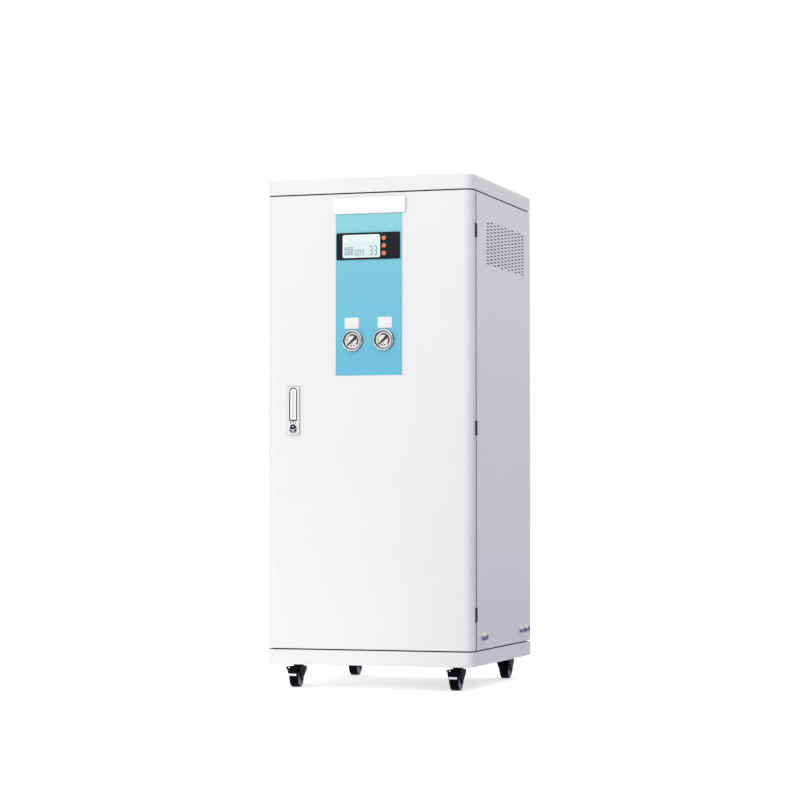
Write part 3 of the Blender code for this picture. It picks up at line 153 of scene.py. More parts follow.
class WaterLooks(bpy.types.PropertyGroup):
    """The water parts behind the door."""

    blue: colour("Blue", "Moulded and painted blue parts", "#2C66B4")
    white: colour("White", "Moulded white parts", "#EBEDF0")
    resin: colour("Resin", "Beads in the polishing column", "#C69A4B")
    ribs: IntProperty(name="Ribs", description="Grip ribs round a filter bowl", default=28, min=8, max=60)


class StudioLooks(bpy.types.PropertyGroup):
    """Floor, light and camera."""

    floor: colour("Floor", "Plain floor", "#F7F7F7")
    sky: FloatProperty(name="Sky", description="Strength of the white surroundings", default=0.93,
                       min=0, max=4)
    overhead: FloatProperty(name="Overhead", description="Strength of the surroundings straight above",
                            default=1.8, min=0, max=8)
    shade: colour("Shade", "Surroundings on the right, which dim that side", "#343A5C")
    glow: FloatProperty(name="Floor glow", description="Light through the floor from below", default=0.25,
                        min=0, max=2)
    key: FloatProperty(name="Key light", description="Power of the large front light in watts",
                       default=19, min=0, max=2000)
    focal: FloatProperty(name="Lens", description="Focal length in millimetres", default=114.96,
                         min=10, max=500)
    place: FloatVectorProperty(name="Camera", description="Where the camera stands", size=3,
                               default=(2.0598, -6.4791, 0.4839), subtype="TRANSLATION")
    yaw: FloatProperty(name="Yaw", description="Turn of the camera to the left", subtype="ANGLE",
                       default=math.radians(17.68))
    pitch: FloatProperty(name="Pitch", description="Upward tilt of the camera", subtype="ANGLE",
                         default=math.radians(2.243))


LOOKS = {"case": CaseLooks, "panel": PanelLooks, "gauge": GaugeLooks, "lock": LockLooks,
         "caster": CasterLooks, "water": WaterLooks, "studio": StudioLooks}


def looks(group):
    """The settings of one group, as the scene holds them."""
    return getattr(bpy.context.scene, "purifier_" + group)


def mm(rows):
    """Rows of millimetres as rows of metres."""
    return [tuple(value * MM for value in row) for row in rows]


# Surfaces. A shape is a pair: points (n x 3) and faces.

def lattice(points, around=True):
    """Quads between neighbouring rows and columns of a grid; around joins the last column to the first."""
    rows, columns = points.shape[:2]
    index = np.arange(rows * columns).reshape(rows, columns)
    near = index if around else index[:, :-1]
    far = np.roll(index, -1, axis=1) if around else index[:, 1:]
    faces = np.stack([near[:-1], far[:-1], far[1:], near[1:]], axis=-1).reshape(-1, 4)
    return points.reshape(-1, 3), faces.tolist()


def spun(profile, sides=48, flutes=0):
    """A profile turned round z: x = r cos a, y = r sin a, z = h.

    A third number in a row is the depth of its flutes: r loses depth (1 - cos(flutes a)) / 2."""
    rows = np.array([(*row, 0) if len(row) == 2 else row for row in profile], float)
    angle = np.linspace(0, TURN, sides, endpoint=False)
    radius = rows[:, :1] - rows[:, 2:] * (1 - np.cos(flutes * angle)) / 2
    height = np.repeat(rows[:, 1:2], sides, axis=1)
    return lattice(np.stack([radius * np.cos(angle), radius * np.sin(angle), height], axis=-1))


def mitred(outline):
    """How far each corner of a closed outline moves for an inset of one, so that its edges stay parallel."""
    edge = np.roll(outline, -1, axis=0) - outline
    edge = edge / np.linalg.norm(edge, axis=1, keepdims=True)
    after = np.stack([edge[:, 1], -edge[:, 0]], axis=1)
    before = np.roll(after, 1, axis=0)
    return (after + before) / (1 + np.sum(after * before, axis=1, keepdims=True))


def rings(outline, levels):
    """Copies of an outline, each pulled in by its inset along the mitres and lifted to its height."""
    outline = np.array(outline, float)
    inset, height = np.array(levels, float).T
    flat = outline[None] - inset[:, None, None] * mitred(outline)[None]
    return np.concatenate([flat, np.repeat(height[:, None, None], len(outline), axis=1)], axis=2)


def slab(outline, levels, base=True, lid=True):
    """A solid between rings of (inset, height), closed by one face at each end unless left open."""
    points = rings(outline, levels)
    shape, faces = lattice(points)
    count = points.shape[1]
    if base:
        faces.append(list(range(count)))
    if lid:
        faces.append(list(range(len(shape) - count, len(shape))))
    return shape, faces


def rim(outline, section):
    """A closed strip: the (inset, height) section carried once round the outline."""
    return lattice(rings(outline, list(section) + [section[0]]))


def soft(low, high, top=0.0, under=0.0, steps=4):
    """Levels of a slab whose upper and lower edges are quarter circles of the given radii."""
    bend = np.linspace(0, QUARTER, steps + 1)
    levels = [(0, low)]
    if under:
        levels = list(zip(under * (1 - np.sin(bend)), low + under * (1 - np.cos(bend))))
    if top:
        levels += list(zip(top * (1 - np.cos(bend)), high - top * (1 - np.sin(bend))))
    else:
        levels.append((0, high))
    return levels


def bowed(radius, start, end, steps, centre=(0, 0)):
    """Points on an arc: centre + radius (cos a, sin a) from start to end."""
    angle = np.linspace(start, end, steps + 1)
    return np.stack([centre[0] + radius * np.cos(angle), centre[1] + radius * np.sin(angle)], axis=1)


def oblong(width, height, corner, steps=6, centre=(0, 0)):
    """A rectangle with round corners, drawn as four quarter arcs."""
    half_x = width / 2 - corner
    half_y = height / 2 - corner
    corners = [(half_x, half_y), (-half_x, half_y), (-half_x, -half_y), (half_x, -half_y)]
    return np.concatenate([bowed(corner, k * QUARTER, (k + 1) * QUARTER, steps,
                                 (centre[0] + x, centre[1] + y)) for k, (x, y) in enumerate(corners)])


def round_top(width, low, high, steps=16):
    """An upright strip with a straight foot and a half-round top."""
    arch = bowed(width / 2, 0, math.pi, steps, (0, high - width / 2))
    return np.concatenate([arch, [(-width / 2, low), (width / 2, low)]])


def wedge(inner, outer, start, end, steps=24):
    """A piece of a flat ring between two radii and two angles."""
    return np.concatenate([bowed(outer, start, end, steps), bowed(inner, end, start, steps)])


def disc(radius, sides=32):
    """A regular outline round the middle."""
    return bowed(radius, 0, TURN * (1 - 1 / sides), sides - 1)


def block(low, high, corner=0.0005, edge=0.0003):
    """A box between two corners, with rounded uprights and softened ends."""
    low = np.array(low, float)
    high = np.array(high, float)
    middle = (low + high) / 2
    outline = oblong(high[0] - low[0], high[1] - low[1], corner, 3, middle[:2])
    return slab(outline, soft(low[2], high[2], edge, edge, 2))


def turned(shape, facing, centre=(0, 0, 0)):
    """The shape with its own axes laid along facing's columns, moved to centre."""
    points, faces = shape
    return points @ np.array(facing, float).T + np.array(centre, float), faces


def swung(shape, angle):
    """The shape turned round its own z axis: x' = x cos a - y sin a, y' = x sin a + y cos a."""
    points, faces = shape
    cos, sin = math.cos(angle), math.sin(angle)
    return points @ np.array([[cos, sin, 0], [-sin, cos, 0], [0, 0, 1]]), faces


def put(name, parts, body, stands_for=(), crease=32):
    """Joins (shape, finish) pairs into one piece at the origin that rides on a body.

    Points that meet are welded, faces turned outwards, and edges flatter than crease shaded smooth."""
    sizes = [len(shape[0]) for shape, kind in parts]
    starts = np.cumsum([0] + sizes[:-1])
    points = np.concatenate([shape[0] for shape, kind in parts])
    faces = [[start + corner for corner in face]
             for start, (shape, kind) in zip(starts, parts) for face in shape[1]]
    kinds = list(dict.fromkeys(kind for shape, kind in parts))
    tags = [kinds.index(kind) for shape, kind in parts for face in shape[1]]
    mesh = bpy.data.meshes.new(name)
    mesh.from_pydata(points.tolist(), [], faces)
    for kind in kinds:
        mesh.materials.append(finish(kind))
    mesh.polygons.foreach_set("material_index", tags)
    work = bmesh.new()
    work.from_mesh(mesh)
    bmesh.ops.remove_doubles(work, verts=work.verts, dist=WELD)
    bmesh.ops.recalc_face_normals(work, faces=work.faces)
    work.to_mesh(mesh)
    work.free()
    mesh.shade_smooth()
    mesh.set_sharp_from_angle(angle=math.radians(crease))
    piece = bpy.data.objects.new(name, mesh)
    bpy.context.scene.collection.objects.link(piece)
    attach(piece, body)
    if stands_for:
        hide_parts(*stands_for)
    return piece


def dress(kind, *nodes, edge=0.0):
    """Gives CAD nodes a finish. Live modifiers weld their faces and round their edges, moving no face."""
    for name in nodes:
        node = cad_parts[name]
        node.data.materials.clear()
        node.data.materials.append(finish(kind))
        weld = node.modifiers.new("Weld", "WELD")
        weld.merge_threshold = 10 * WELD
        flat = node.modifiers.new("Flat faces", "DECIMATE")
        flat.decimate_type = "DISSOLVE"
        flat.angle_limit = math.radians(0.5)
        if edge:
            bevel = node.modifiers.new("Edges", "BEVEL")
            bevel.width = edge
            bevel.segments = 2
            bevel.limit_method = "ANGLE"
            bevel.angle_limit = math.radians(40)
            bevel.harden_normals = False
        even = node.modifiers.new("Even shading", "WEIGHTED_NORMAL")
        even.keep_sharp = True
        even.weight = 100


def centre_of(node):
    """Middle of a CAD node's box."""
    low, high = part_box(node)
    return (np.array(low) + np.array(high)) / 2


# Materials. Each function's tree reads Object coordinates, in metres.

def add(tree, kind, inputs=None, **settings):
    """Adds a node with its settings; an input takes a value or another node's output."""
    node = tree.nodes.new(kind)
    for name, value in settings.items():
        setattr(node, name, value)
    for name, value in (inputs or {}).items():
        if isinstance(value, bpy.types.NodeSocket):
            tree.links.new(value, node.inputs[name])
        else:
            node.inputs[name].default_value = value
    return node


def started(name, **sockets):
    """A material with a Principled shader whose uniform values sit on its own sockets."""
    material = bpy.data.materials.new(name)
    material.use_nodes = True
    tree = material.node_tree
    tree.nodes.clear()
    values = {key.replace("_", " "): value for key, value in sockets.items()}
    shader = add(tree, "ShaderNodeBsdfPrincipled", values)
    add(tree, "ShaderNodeOutputMaterial", {"Surface": shader.outputs[0]})
    place = add(tree, "ShaderNodeTexCoord").outputs["Object"]
    return material, tree, shader, place


def grain(tree, place, size, detail=2.0):
    """Noise with features about `size` metres apart."""
    return add(tree, "ShaderNodeTexNoise", {"Vector": place, "Scale": 1 / size, "Detail": detail}).outputs[0]


def shades(tree, factor, stops):
    """A colour ramp through (position, linear colour) stops."""
    ramp = add(tree, "ShaderNodeValToRGB", {0: factor})
    elements = ramp.color_ramp.elements
    elements[0].position, elements[0].color = stops[0]
    elements[1].position, elements[1].color = stops[-1]
    for position, code in stops[1:-1]:
        elements.new(position).color = code
    return ramp.outputs["Color"]


def toned(base, share):
    """The colour with its channels multiplied by share."""
    return (*(min(1.0, channel * share) for channel in base[:3]), 1.0)


def relief(tree, shader, height, depth):
    """Bump of a real depth in metres on the shader's normal."""
    bump = add(tree, "ShaderNodeBump", {"Height": height, "Distance": depth, "Strength": 1.0})
    tree.links.new(bump.outputs[0], shader.inputs["Normal"])


def textured(name, base, spread, patch, ripple, depth, rough, **sockets):
    """A solid colour that drifts by `spread` over `patch` metres, with ripples of a real size and depth.

    The roughness drifts with the colour by a tenth."""
    material, tree, shader, place = started(name, **sockets)
    drift = grain(tree, place, patch, 3.0)
    stops = [(0.3, toned(base, 1 - spread)), (0.7, toned(base, 1 + spread))]
    tree.links.new(shades(tree, drift, stops), shader.inputs["Base Color"])
    spanned = add(tree, "ShaderNodeMapRange",
                  {"Value": drift, "To Min": rough * 0.95, "To Max": rough * 1.05})
    tree.links.new(spanned.outputs[0], shader.inputs["Roughness"])
    relief(tree, shader, grain(tree, place, ripple), depth)
    return material


def powder_coated_steel():
    """Polyester powder baked on steel sheet: an even satin white with a fine orange peel.

    The real ripple is about 1 mm apart; it is drawn coarser so that it shows."""
    case = looks("case")
    return textured("powder_coated_steel", case.white, 0.006, 220 * MM, case.peel, 0.012 * MM, 0.36,
                    Coat_Weight=0.15, Coat_Roughness=0.22)


def zinc_plated_steel():
    """Rolled steel with bright zinc: grey, a little cloudy, with fine crystals."""
    return textured("zinc_plated_steel", linear("#A6A9AC"), 0.10, 6 * MM, 0.9 * MM, 0.01 * MM, 0.34,
                    Metallic=1.0)


def dark_zinc_hinge():
    """Zinc hinge leaves in the shade of the door gap: darker, with tool marks."""
    return textured("dark_zinc_hinge", linear("#4E5052"), 0.12, 4 * MM, 0.7 * MM, 0.015 * MM, 0.42,
                    Metallic=0.8)


def gloss_black_steel():
    """Pressed steel dipped in black paint: deep gloss over slight ripples."""
    return textured("gloss_black_steel", looks("caster").black, 0.15, 8 * MM, 2.2 * MM, 0.01 * MM, 0.24,
                    Coat_Weight=0.6, Coat_Roughness=0.08)


def moulded_black_nylon():
    """Glass-filled nylon from a polished mould: black with a cool sheen and faint flow marks."""
    caster = looks("caster")
    return textured("moulded_black_nylon", caster.black, 0.2, 12 * MM, 1.5 * MM, 0.012 * MM, 0.34,
                    Specular_Tint=caster.sheen, Specular_IOR_Level=0.04)


def black_wheel_polyurethane():
    """Cast wheel tyre and centre: gloss black, its light tinted lavender."""
    caster = looks("caster")
    return textured("black_wheel_polyurethane", caster.black, 0.2, 9 * MM, 1.2 * MM, 0.01 * MM, 0.36,
                    Specular_Tint=caster.sheen, Specular_IOR_Level=0.12)


def hub_painted_sheen():
    """Side of the wheel: slate with a lavender tint, a painted sheen for the light reflected on the black
    wheel's side, with faint flow marks.
    """
    return textured("hub_painted_sheen", looks("caster").hub, 0.1, 6 * MM, 1.0 * MM, 0.01 * MM, 0.3)


def shoe_painted_highlight():
    """Near-white metal with fine rolling lines on the brake shoe and its rivet: partly bright zinc and partly
    a painted highlight.
    """
    return textured("shoe_painted_highlight", looks("caster").shoe, 0.03, 5 * MM, 0.8 * MM, 0.006 * MM, 0.38)


def chrome_plated_brass():
    """Polished chrome on the gauge rings: a clean mirror with a trace of handling."""
    return textured("chrome_plated_brass", linear("#E4E2E4"), 0.03, 14 * MM, 3 * MM, 0.002 * MM, 0.16,
                    Metallic=1.0)


def chrome_skirt_painted_shade():
    """The ring's foot: brown-grey metal, darker than the polished ring as painted shade at the step below it.
    """
    return textured("chrome_skirt_painted_shade", linear("#8E878B"), 0.12, 8 * MM, 1.0 * MM, 0.01 * MM, 0.35,
                    Metallic=1.0)


def gauge_gasket_painted_reflection():
    """Rubber ring that seats the gauge glass: matt black with a fine skin; its black also stands for the dark
    line reflected in the chrome, a painted reflection.
    """
    return textured("gauge_gasket_painted_reflection", linear("#232024"), 0.1, 4 * MM, 0.5 * MM, 0.01 * MM, 0.7)


def printed_white_dial():
    """Screen-printed aluminium dial: flat white enamel, very slightly mottled."""
    return textured("printed_white_dial", linear("#FBF9F9"), 0.01, 7 * MM, 0.6 * MM, 0.002 * MM, 0.5)


def dial_ink(name, base):
    """Screen ink on the dial: dense, matt, with the mesh's faint unevenness."""
    return textured(name, base, 0.08, 2 * MM, 0.4 * MM, 0.002 * MM, 0.6)


def blackened_brass_needle():
    """Stamped brass in black enamel: satin, with soft brush marks."""
    return textured("blackened_brass_needle", linear("#0B0B0C"), 0.2, 3 * MM, 0.5 * MM, 0.004 * MM, 0.4)


def polished_gauge_glass():
    """Flat polished glass: clear, so only its gloss shows. Its alpha is uniform."""
    return textured("polished_gauge_glass", linear("#5A5C60"), 0.004, 30 * MM, 18 * MM, 0.002 * MM, 0.03,
                    Alpha=0.04, IOR=1.5)


def printed_polycarbonate():
    """Polycarbonate sheet printed on its back, pale above and deeper below, with a fine velvet front."""
    panel = looks("panel")
    material, tree, shader, place = started("printed_polycarbonate", Roughness=0.34, Coat_Weight=0.25,
                                            Coat_Roughness=0.15)
    low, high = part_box("overlay")
    height = add(tree, "ShaderNodeSeparateXYZ", {"Vector": place}).outputs["Z"]
    rise = add(tree, "ShaderNodeMapRange", {"Value": height, "From Min": low[2], "From Max": high[2]})
    middle = tuple(0.28 * a + 0.72 * b for a, b in zip(panel.sky_top, panel.sky_low))
    stops = [(0.0, tuple(panel.sky_low)), (0.62, middle), (1.0, tuple(panel.sky_top))]
    tree.links.new(shades(tree, rise.outputs[0], stops), shader.inputs["Base Color"])
    relief(tree, shader, grain(tree, place, 0.9 * MM), 0.006 * MM)
    return material


def polished_acrylic_plate():
    """White acrylic plate, saw-cut and edge-polished: brighter and glossier than the case."""
    return textured("polished_acrylic_plate", linear("#FBFBFA"), 0.004, 90 * MM, 30 * MM, 0.004 * MM, 0.12,
                    Coat_Weight=0.4, Coat_Roughness=0.05)


def foam_tape_and_shadow_line():
    """Closed-cell mounting tape with open bubbles on its cut edge, drawn dark grey: partly the tape and
    partly painted shadow under the plate's edge.
    """
    return textured("foam_tape_and_shadow_line", linear("#6E6E72"), 0.15, 2 * MM, 0.6 * MM, 0.08 * MM, 0.9)


def vinyl_sticker():
    """Printed vinyl label stock: soft white with a faint warm tone and a slight lift of fibre."""
    return textured("vinyl_sticker", linear("#F4F0F0"), 0.012, 9 * MM, 1.1 * MM, 0.006 * MM, 0.45)


def moulded_navy_abs():
    """Textured ABS frame: blue-black that drifts a little over broad patches, with spark-eroded grain."""
    return textured("moulded_navy_abs", looks("panel").bezel, 0.14, 60 * MM, 0.6 * MM, 0.02 * MM, 0.5,
                    Specular_IOR_Level=0.2)


def backlit_display_glass():
    """LCD over a cool back light: pale mint that brightens towards the top, with a fine pixel weave."""
    panel = looks("panel")
    material, tree, shader, place = started("backlit_display_glass", Roughness=0.16, Emission_Strength=0.12)
    low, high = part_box("lcd")
    height = add(tree, "ShaderNodeSeparateXYZ", {"Vector": place}).outputs["Z"]
    rise = add(tree, "ShaderNodeMapRange", {"Value": height, "From Min": low[2], "From Max": high[2]})
    stops = [(0.0, toned(panel.lcd, 0.97)), (0.6, tuple(panel.lcd)), (1.0, toned(panel.lcd, 1.08))]
    tint = shades(tree, rise.outputs[0], stops)
    tree.links.new(tint, shader.inputs["Base Color"])
    tree.links.new(tint, shader.inputs["Emission Color"])
    relief(tree, shader, grain(tree, place, 1.5 * MM), 0.002 * MM)
    return material


def display_frame_white():
    """Milky white: the moulded light guide that frames the glass, the lock's pale chevrons, and the stud on
    the key cap, whose white is partly a painted highlight.
    """
    return textured("display_frame_white", linear("#F4FBF8"), 0.01, 12 * MM, 1.4 * MM, 0.004 * MM, 0.3)


def display_segment(name, base):
    """Liquid-crystal segment: flat grey-blue with a soft mottle."""
    return textured(name, base, 0.05, 2 * MM, 0.5 * MM, 0.001 * MM, 0.3)


def silicone_key():
    """Moulded silicone rubber: orange, waxy, with a little light under the skin."""
    return textured("silicone_key", looks("panel").key, 0.05, 4 * MM, 0.7 * MM, 0.01 * MM, 0.34,
                    Coat_Weight=0.3, Coat_Roughness=0.2)


def key_dimple_painted_shade():
    """The same rubber in each key's dimple, deeper and duller: painted shade in the hollow."""
    return textured("key_dimple_painted_shade", looks("panel").key_dimple_shade, 0.06, 2 * MM, 0.5 * MM, 0.01 * MM, 0.5)


def enamelled_zinc_casting():
    """Die-cast zinc in white stove enamel: smooth gloss that pools at the edges."""
    return textured("enamelled_zinc_casting", looks("lock").white, 0.008, 25 * MM, 3 * MM, 0.008 * MM, 0.24,
                    Coat_Weight=0.3, Coat_Roughness=0.1)


def lock_housing_enamel_and_pocket_shade():
    """The same enamel on the housing; inside its pocket, from about a millimetre behind the face, the colour
    turns near black: painted shade in the recess round the handle.
    """
    lock = looks("lock")
    material, tree, shader, place = started("lock_housing_enamel_and_pocket_shade", Roughness=0.3)
    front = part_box("lock_plate")[0][1]
    depth = add(tree, "ShaderNodeSeparateXYZ", {"Vector": place}).outputs["Y"]
    inward = add(tree, "ShaderNodeMapRange", {"Value": depth, "From Min": front, "From Max": front + 6 * MM})
    # bare holds the near black of the painted shade inside the pocket.
    bare = linear("#2C2A29")
    coat = shades(tree, inward.outputs[0], [(0.10, tuple(lock.white)), (0.28, bare), (1.0, bare)])
    tree.links.new(coat, shader.inputs["Base Color"])
    relief(tree, shader, grain(tree, place, 3 * MM), 0.008 * MM)
    return material


def lock_trim_grey():
    """Rubber seal and trim of the lock: warm grey, matt."""
    return textured("lock_trim_grey", linear("#A39F9A"), 0.04, 5 * MM, 0.6 * MM, 0.01 * MM, 0.6)


def lock_arch_painted_shade():
    """Dark warm grey arch above the button: painted shade along the edge of the button's boss."""
    return textured("lock_arch_painted_shade", linear("#5C5956"), 0.06, 4 * MM, 0.6 * MM, 0.006 * MM, 0.5)


def handle_strip_painted_shade():
    """Enamel in the handle's sunk strip, greyer than the handle: painted shade in the recess."""
    return textured("handle_strip_painted_shade", looks("lock").strip, 0.012, 12 * MM, 1.2 * MM, 0.01 * MM, 0.45)


def satin_nickel():
    """Nickel-plated collar of the key button: warm grey metal, softly brushed."""
    return textured("satin_nickel", linear("#B4B3B1"), 0.06, 3 * MM, 0.5 * MM, 0.004 * MM, 0.3, Metallic=1.0)


def navy_gloss_cap():
    """Moulded navy cap, high gloss."""
    return textured("navy_gloss_cap", looks("lock").navy, 0.1, 5 * MM, 1.4 * MM, 0.004 * MM, 0.3,
                    Specular_IOR_Level=0.25)


def lock_shadow_black():
    """Near black: the key cylinder behind the button's cap, partly its own blackened steel and partly painted
    shade, and the crescent on the plate below the button, which is painted shadow.
    """
    return textured("lock_shadow_black", linear("#101312"), 0.2, 3 * MM, 0.5 * MM, 0.01 * MM, 0.4)


def acetal_port():
    """Machined and moulded acetal: creamy white with turning lines."""
    return textured("acetal_port", linear("#E9EBF2"), 0.015, 4 * MM, 0.6 * MM, 0.008 * MM, 0.3)


def grey_collet():
    """Acetal release collet: lavender grey."""
    return textured("grey_collet", linear("#8483A2"), 0.03, 3 * MM, 0.5 * MM, 0.008 * MM, 0.32)


def violet_acetal_painted_top_light():
    """Moulded acetal, satin, with a fine mould grain: blue-violet below, turning cream towards the top as a
    painted highlight from the light above.
    """
    material, tree, shader, place = started("violet_acetal_painted_top_light", Roughness=0.34)
    low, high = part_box("port_inlet")
    height = add(tree, "ShaderNodeSeparateXYZ", {"Vector": place}).outputs["Z"]
    rise = add(tree, "ShaderNodeMapRange", {"Value": height, "From Min": low[2], "From Max": high[2]})
    # Violet below to cream above: the cream top is a painted highlight.
    stops = [(0.28, linear("#7978B2")), (0.52, linear("#A5A4C4")), (0.72, linear("#EFEDE2"))]
    tree.links.new(shades(tree, rise.outputs[0], stops), shader.inputs["Base Color"])
    relief(tree, shader, grain(tree, place, 0.6 * MM), 0.01 * MM)
    return material


def moulded_white_polypropylene():
    """Moulded polypropylene: waxy cool white with shallow sink marks."""
    return textured("moulded_white_polypropylene", looks("water").white, 0.015, 35 * MM, 4 * MM, 0.02 * MM,
                    0.34)


def blue_san_bowl():
    """Tinted SAN filter bowl: deep translucent blue with moulded haze."""
    return textured("blue_san_bowl", looks("water").blue, 0.12, 22 * MM, 3 * MM, 0.01 * MM, 0.14,
                    Transmission_Weight=0.25, IOR=1.57)


def blue_tank_enamel():
    """Sprayed enamel on a drawn steel tank: mid blue with light orange peel."""
    return textured("blue_tank_enamel", looks("water").blue, 0.05, 80 * MM, 2.4 * MM, 0.02 * MM, 0.28,
                    Coat_Weight=0.3, Coat_Roughness=0.12)


def resin_filled_acrylic():
    """Clear acrylic tube packed with ion-exchange beads, real size 0.6 mm, drawn at 1.8 mm to show."""
    base = looks("water").resin
    material, tree, shader, place = started("resin_filled_acrylic", Roughness=0.12, Coat_Weight=1.0,
                                            Coat_Roughness=0.03, IOR=1.49)
    beads = add(tree, "ShaderNodeTexVoronoi", {"Vector": place, "Scale": 1 / (1.8 * MM)})
    stops = [(0.0, toned(base, 1.25)), (0.5, tuple(base)), (1.0, toned(base, 0.45))]
    tree.links.new(shades(tree, beads.outputs["Distance"], stops), shader.inputs["Base Color"])
    relief(tree, shader, beads.outputs["Distance"], -0.05 * MM)
    return material


def cast_pump_aluminium():
    """Die-cast aluminium, shot-blasted: pale grey with an even fine grit."""
    return textured("cast_pump_aluminium", linear("#A9ABAE"), 0.06, 10 * MM, 0.8 * MM, 0.05 * MM, 0.48,
                    Metallic=0.9)


def black_motor_paint():
    """Motor can in black paint."""
    return textured("black_motor_paint", linear("#1A1B1D"), 0.1, 18 * MM, 2 * MM, 0.02 * MM, 0.4)


def grey_box_paint():
    """Smooth grey paint on the electrics box."""
    return textured("grey_box_paint", linear("#B3B8BC"), 0.02, 60 * MM, 2.4 * MM, 0.015 * MM, 0.42)


def black_moulded_abs():
    """Moulded ABS of the inlet and its switch: black with a fine spark grain."""
    return textured("black_moulded_abs", linear("#131415"), 0.12, 6 * MM, 0.7 * MM, 0.02 * MM, 0.4)


def brass_pin():
    """Turned brass contact pins."""
    return textured("brass_pin", linear("#C9A765"), 0.05, 3 * MM, 0.4 * MM, 0.004 * MM, 0.25, Metallic=1.0)


def red_moulded_nylon():
    """Moulded nylon lever: signal red."""
    return textured("red_moulded_nylon", linear("#B3261E"), 0.05, 8 * MM, 1.2 * MM, 0.01 * MM, 0.36)


def white_polyethylene_tube():
    """Extruded polyethylene feed tube: milky white with fine draw lines."""
    return textured("white_polyethylene_tube", linear("#E6E9EC"), 0.02, 16 * MM, 1.6 * MM, 0.006 * MM, 0.3)


def blue_polyethylene_tube():
    """Extruded polyethylene product tube: mid blue."""
    return textured("blue_polyethylene_tube", linear("#2F6FC4"), 0.04, 16 * MM, 1.6 * MM, 0.006 * MM, 0.3)


def foam_gasket_and_seam_shade():
    """Near black, soft and matt: the self-adhesive foam strip inside the door, and the strips and sheets in
    the case's seams, which are painted shade in the gaps.
    """
    return textured("foam_gasket_and_seam_shade", linear("#1E1F22"), 0.1, 5 * MM, 1.0 * MM, 0.1 * MM, 0.92)


def fleece_and_vent_shade():
    """Needled filter fleece: mid grey, fuzzy; its grey is also painted shade for the vent slots in front of
    it.
    """
    return textured("fleece_and_vent_shade", linear("#5E605C"), 0.08, 9 * MM, 0.8 * MM, 0.2 * MM, 0.95)


def brass_fitting():
    """Nickel-plated brass valve on the tank."""
    return textured("brass_fitting", linear("#C2BDB1"), 0.05, 5 * MM, 0.7 * MM, 0.006 * MM, 0.24,
                    Metallic=1.0)


FINISHES = {
    "dial_green": lambda: dial_ink("dial_green", looks("gauge").low_arc),
    "dial_red": lambda: dial_ink("dial_red", looks("gauge").high_arc),
    "black_ink_and_recess_shade": lambda: dial_ink("black_ink_and_recess_shade", linear("#19181A")),
    "dial_grey": lambda: dial_ink("dial_grey", linear("#4A464C")),
    "segment_dark": lambda: display_segment("segment_dark", looks("panel").segment),
    "segment_mid": lambda: display_segment("segment_mid", linear("#85A3AE")),
    "segment_pale": lambda: display_segment("segment_pale", linear("#C3D3D0")),
}
for maker in (
        powder_coated_steel, zinc_plated_steel, dark_zinc_hinge, gloss_black_steel,
        moulded_black_nylon, black_wheel_polyurethane, hub_painted_sheen, shoe_painted_highlight,
        chrome_plated_brass, chrome_skirt_painted_shade, gauge_gasket_painted_reflection, printed_white_dial,
        blackened_brass_needle, polished_gauge_glass, printed_polycarbonate, polished_acrylic_plate,
        foam_tape_and_shadow_line, vinyl_sticker, moulded_navy_abs, backlit_display_glass, display_frame_white,
        silicone_key, key_dimple_painted_shade, enamelled_zinc_casting, lock_housing_enamel_and_pocket_shade,
        lock_trim_grey, lock_arch_painted_shade, handle_strip_painted_shade, satin_nickel, navy_gloss_cap,
        lock_shadow_black, acetal_port, grey_collet, violet_acetal_painted_top_light, moulded_white_polypropylene,
        blue_san_bowl, blue_tank_enamel, resin_filled_acrylic, cast_pump_aluminium,
        black_motor_paint, grey_box_paint, black_moulded_abs, brass_pin, red_moulded_nylon,
        white_polyethylene_tube, blue_polyethylene_tube, foam_gasket_and_seam_shade, fleece_and_vent_shade,
        brass_fitting
):
    FINISHES[maker.__name__] = maker


def finish(kind):
    """The material of that name, made the first time it is asked for."""
    return bpy.data.materials.get(kind) or FINISHES[kind]()


# Small hardware that several pieces share

def pan_head(radius, rise):
    """A pan-head screw seen from above: a flat-topped dome with a cross recess, drawn as a black cross whose
    black is painted shade in the hollow.
    """
    shares = [(0, 0.45), (0.16, 0.45), (0.34, 0.96), (0.55, 1), (0.8, 0.82), (0.95, 0.45), (1, 0), (0, 0)]
    dome = [(radius * out, rise * up) for out, up in shares]
    arm = radius * 0.62
    half = radius * 0.13
    cross = [(arm, -half), (arm, half), (half, half), (half, arm), (-half, arm), (-half, half), (-arm, half),
             (-arm, -half), (-half, -half), (-half, -arm), (half, -arm), (half, -half)]
    # The cross is filled and black: painted shade in the recess.
    recess = slab(cross, [(0, rise * 0.5), (0, rise + HAIR)])
    return [(spun(dome, 20), "zinc_plated_steel"), (recess, "black_ink_and_recess_shade")]


def hex_head(radius, rise):
    """A hexagon head: six flats under a turned chamfer."""
    return [(slab(disc(radius, 6), soft(0, rise, rise * 0.25, 0, 2)), "zinc_plated_steel")]


def set_at(parts, facing, centre):
    """Every (shape, finish) pair of a fitting, turned and moved."""
    return [(turned(shape, facing, centre), kind) for shape, kind in parts]


class Maker(bpy.types.Operator):
    """What the operators share: each makes its pieces and reports done."""

    bl_options = {"REGISTER", "UNDO"}

    def execute(self, context):
        self.make()
        return {"FINISHED"}


class PURIFIER_OT_case(Maker):
    """Gives the case's folded panels their powder coat"""

    bl_idname = "purifier.case"
    bl_label = "Case"

    def make(self):
        dress("powder_coated_steel", "base_tray", "lid", "side_panel_left", "side_panel_right", "back_panel",
              "shelf", "door", edge=looks("case").edge)


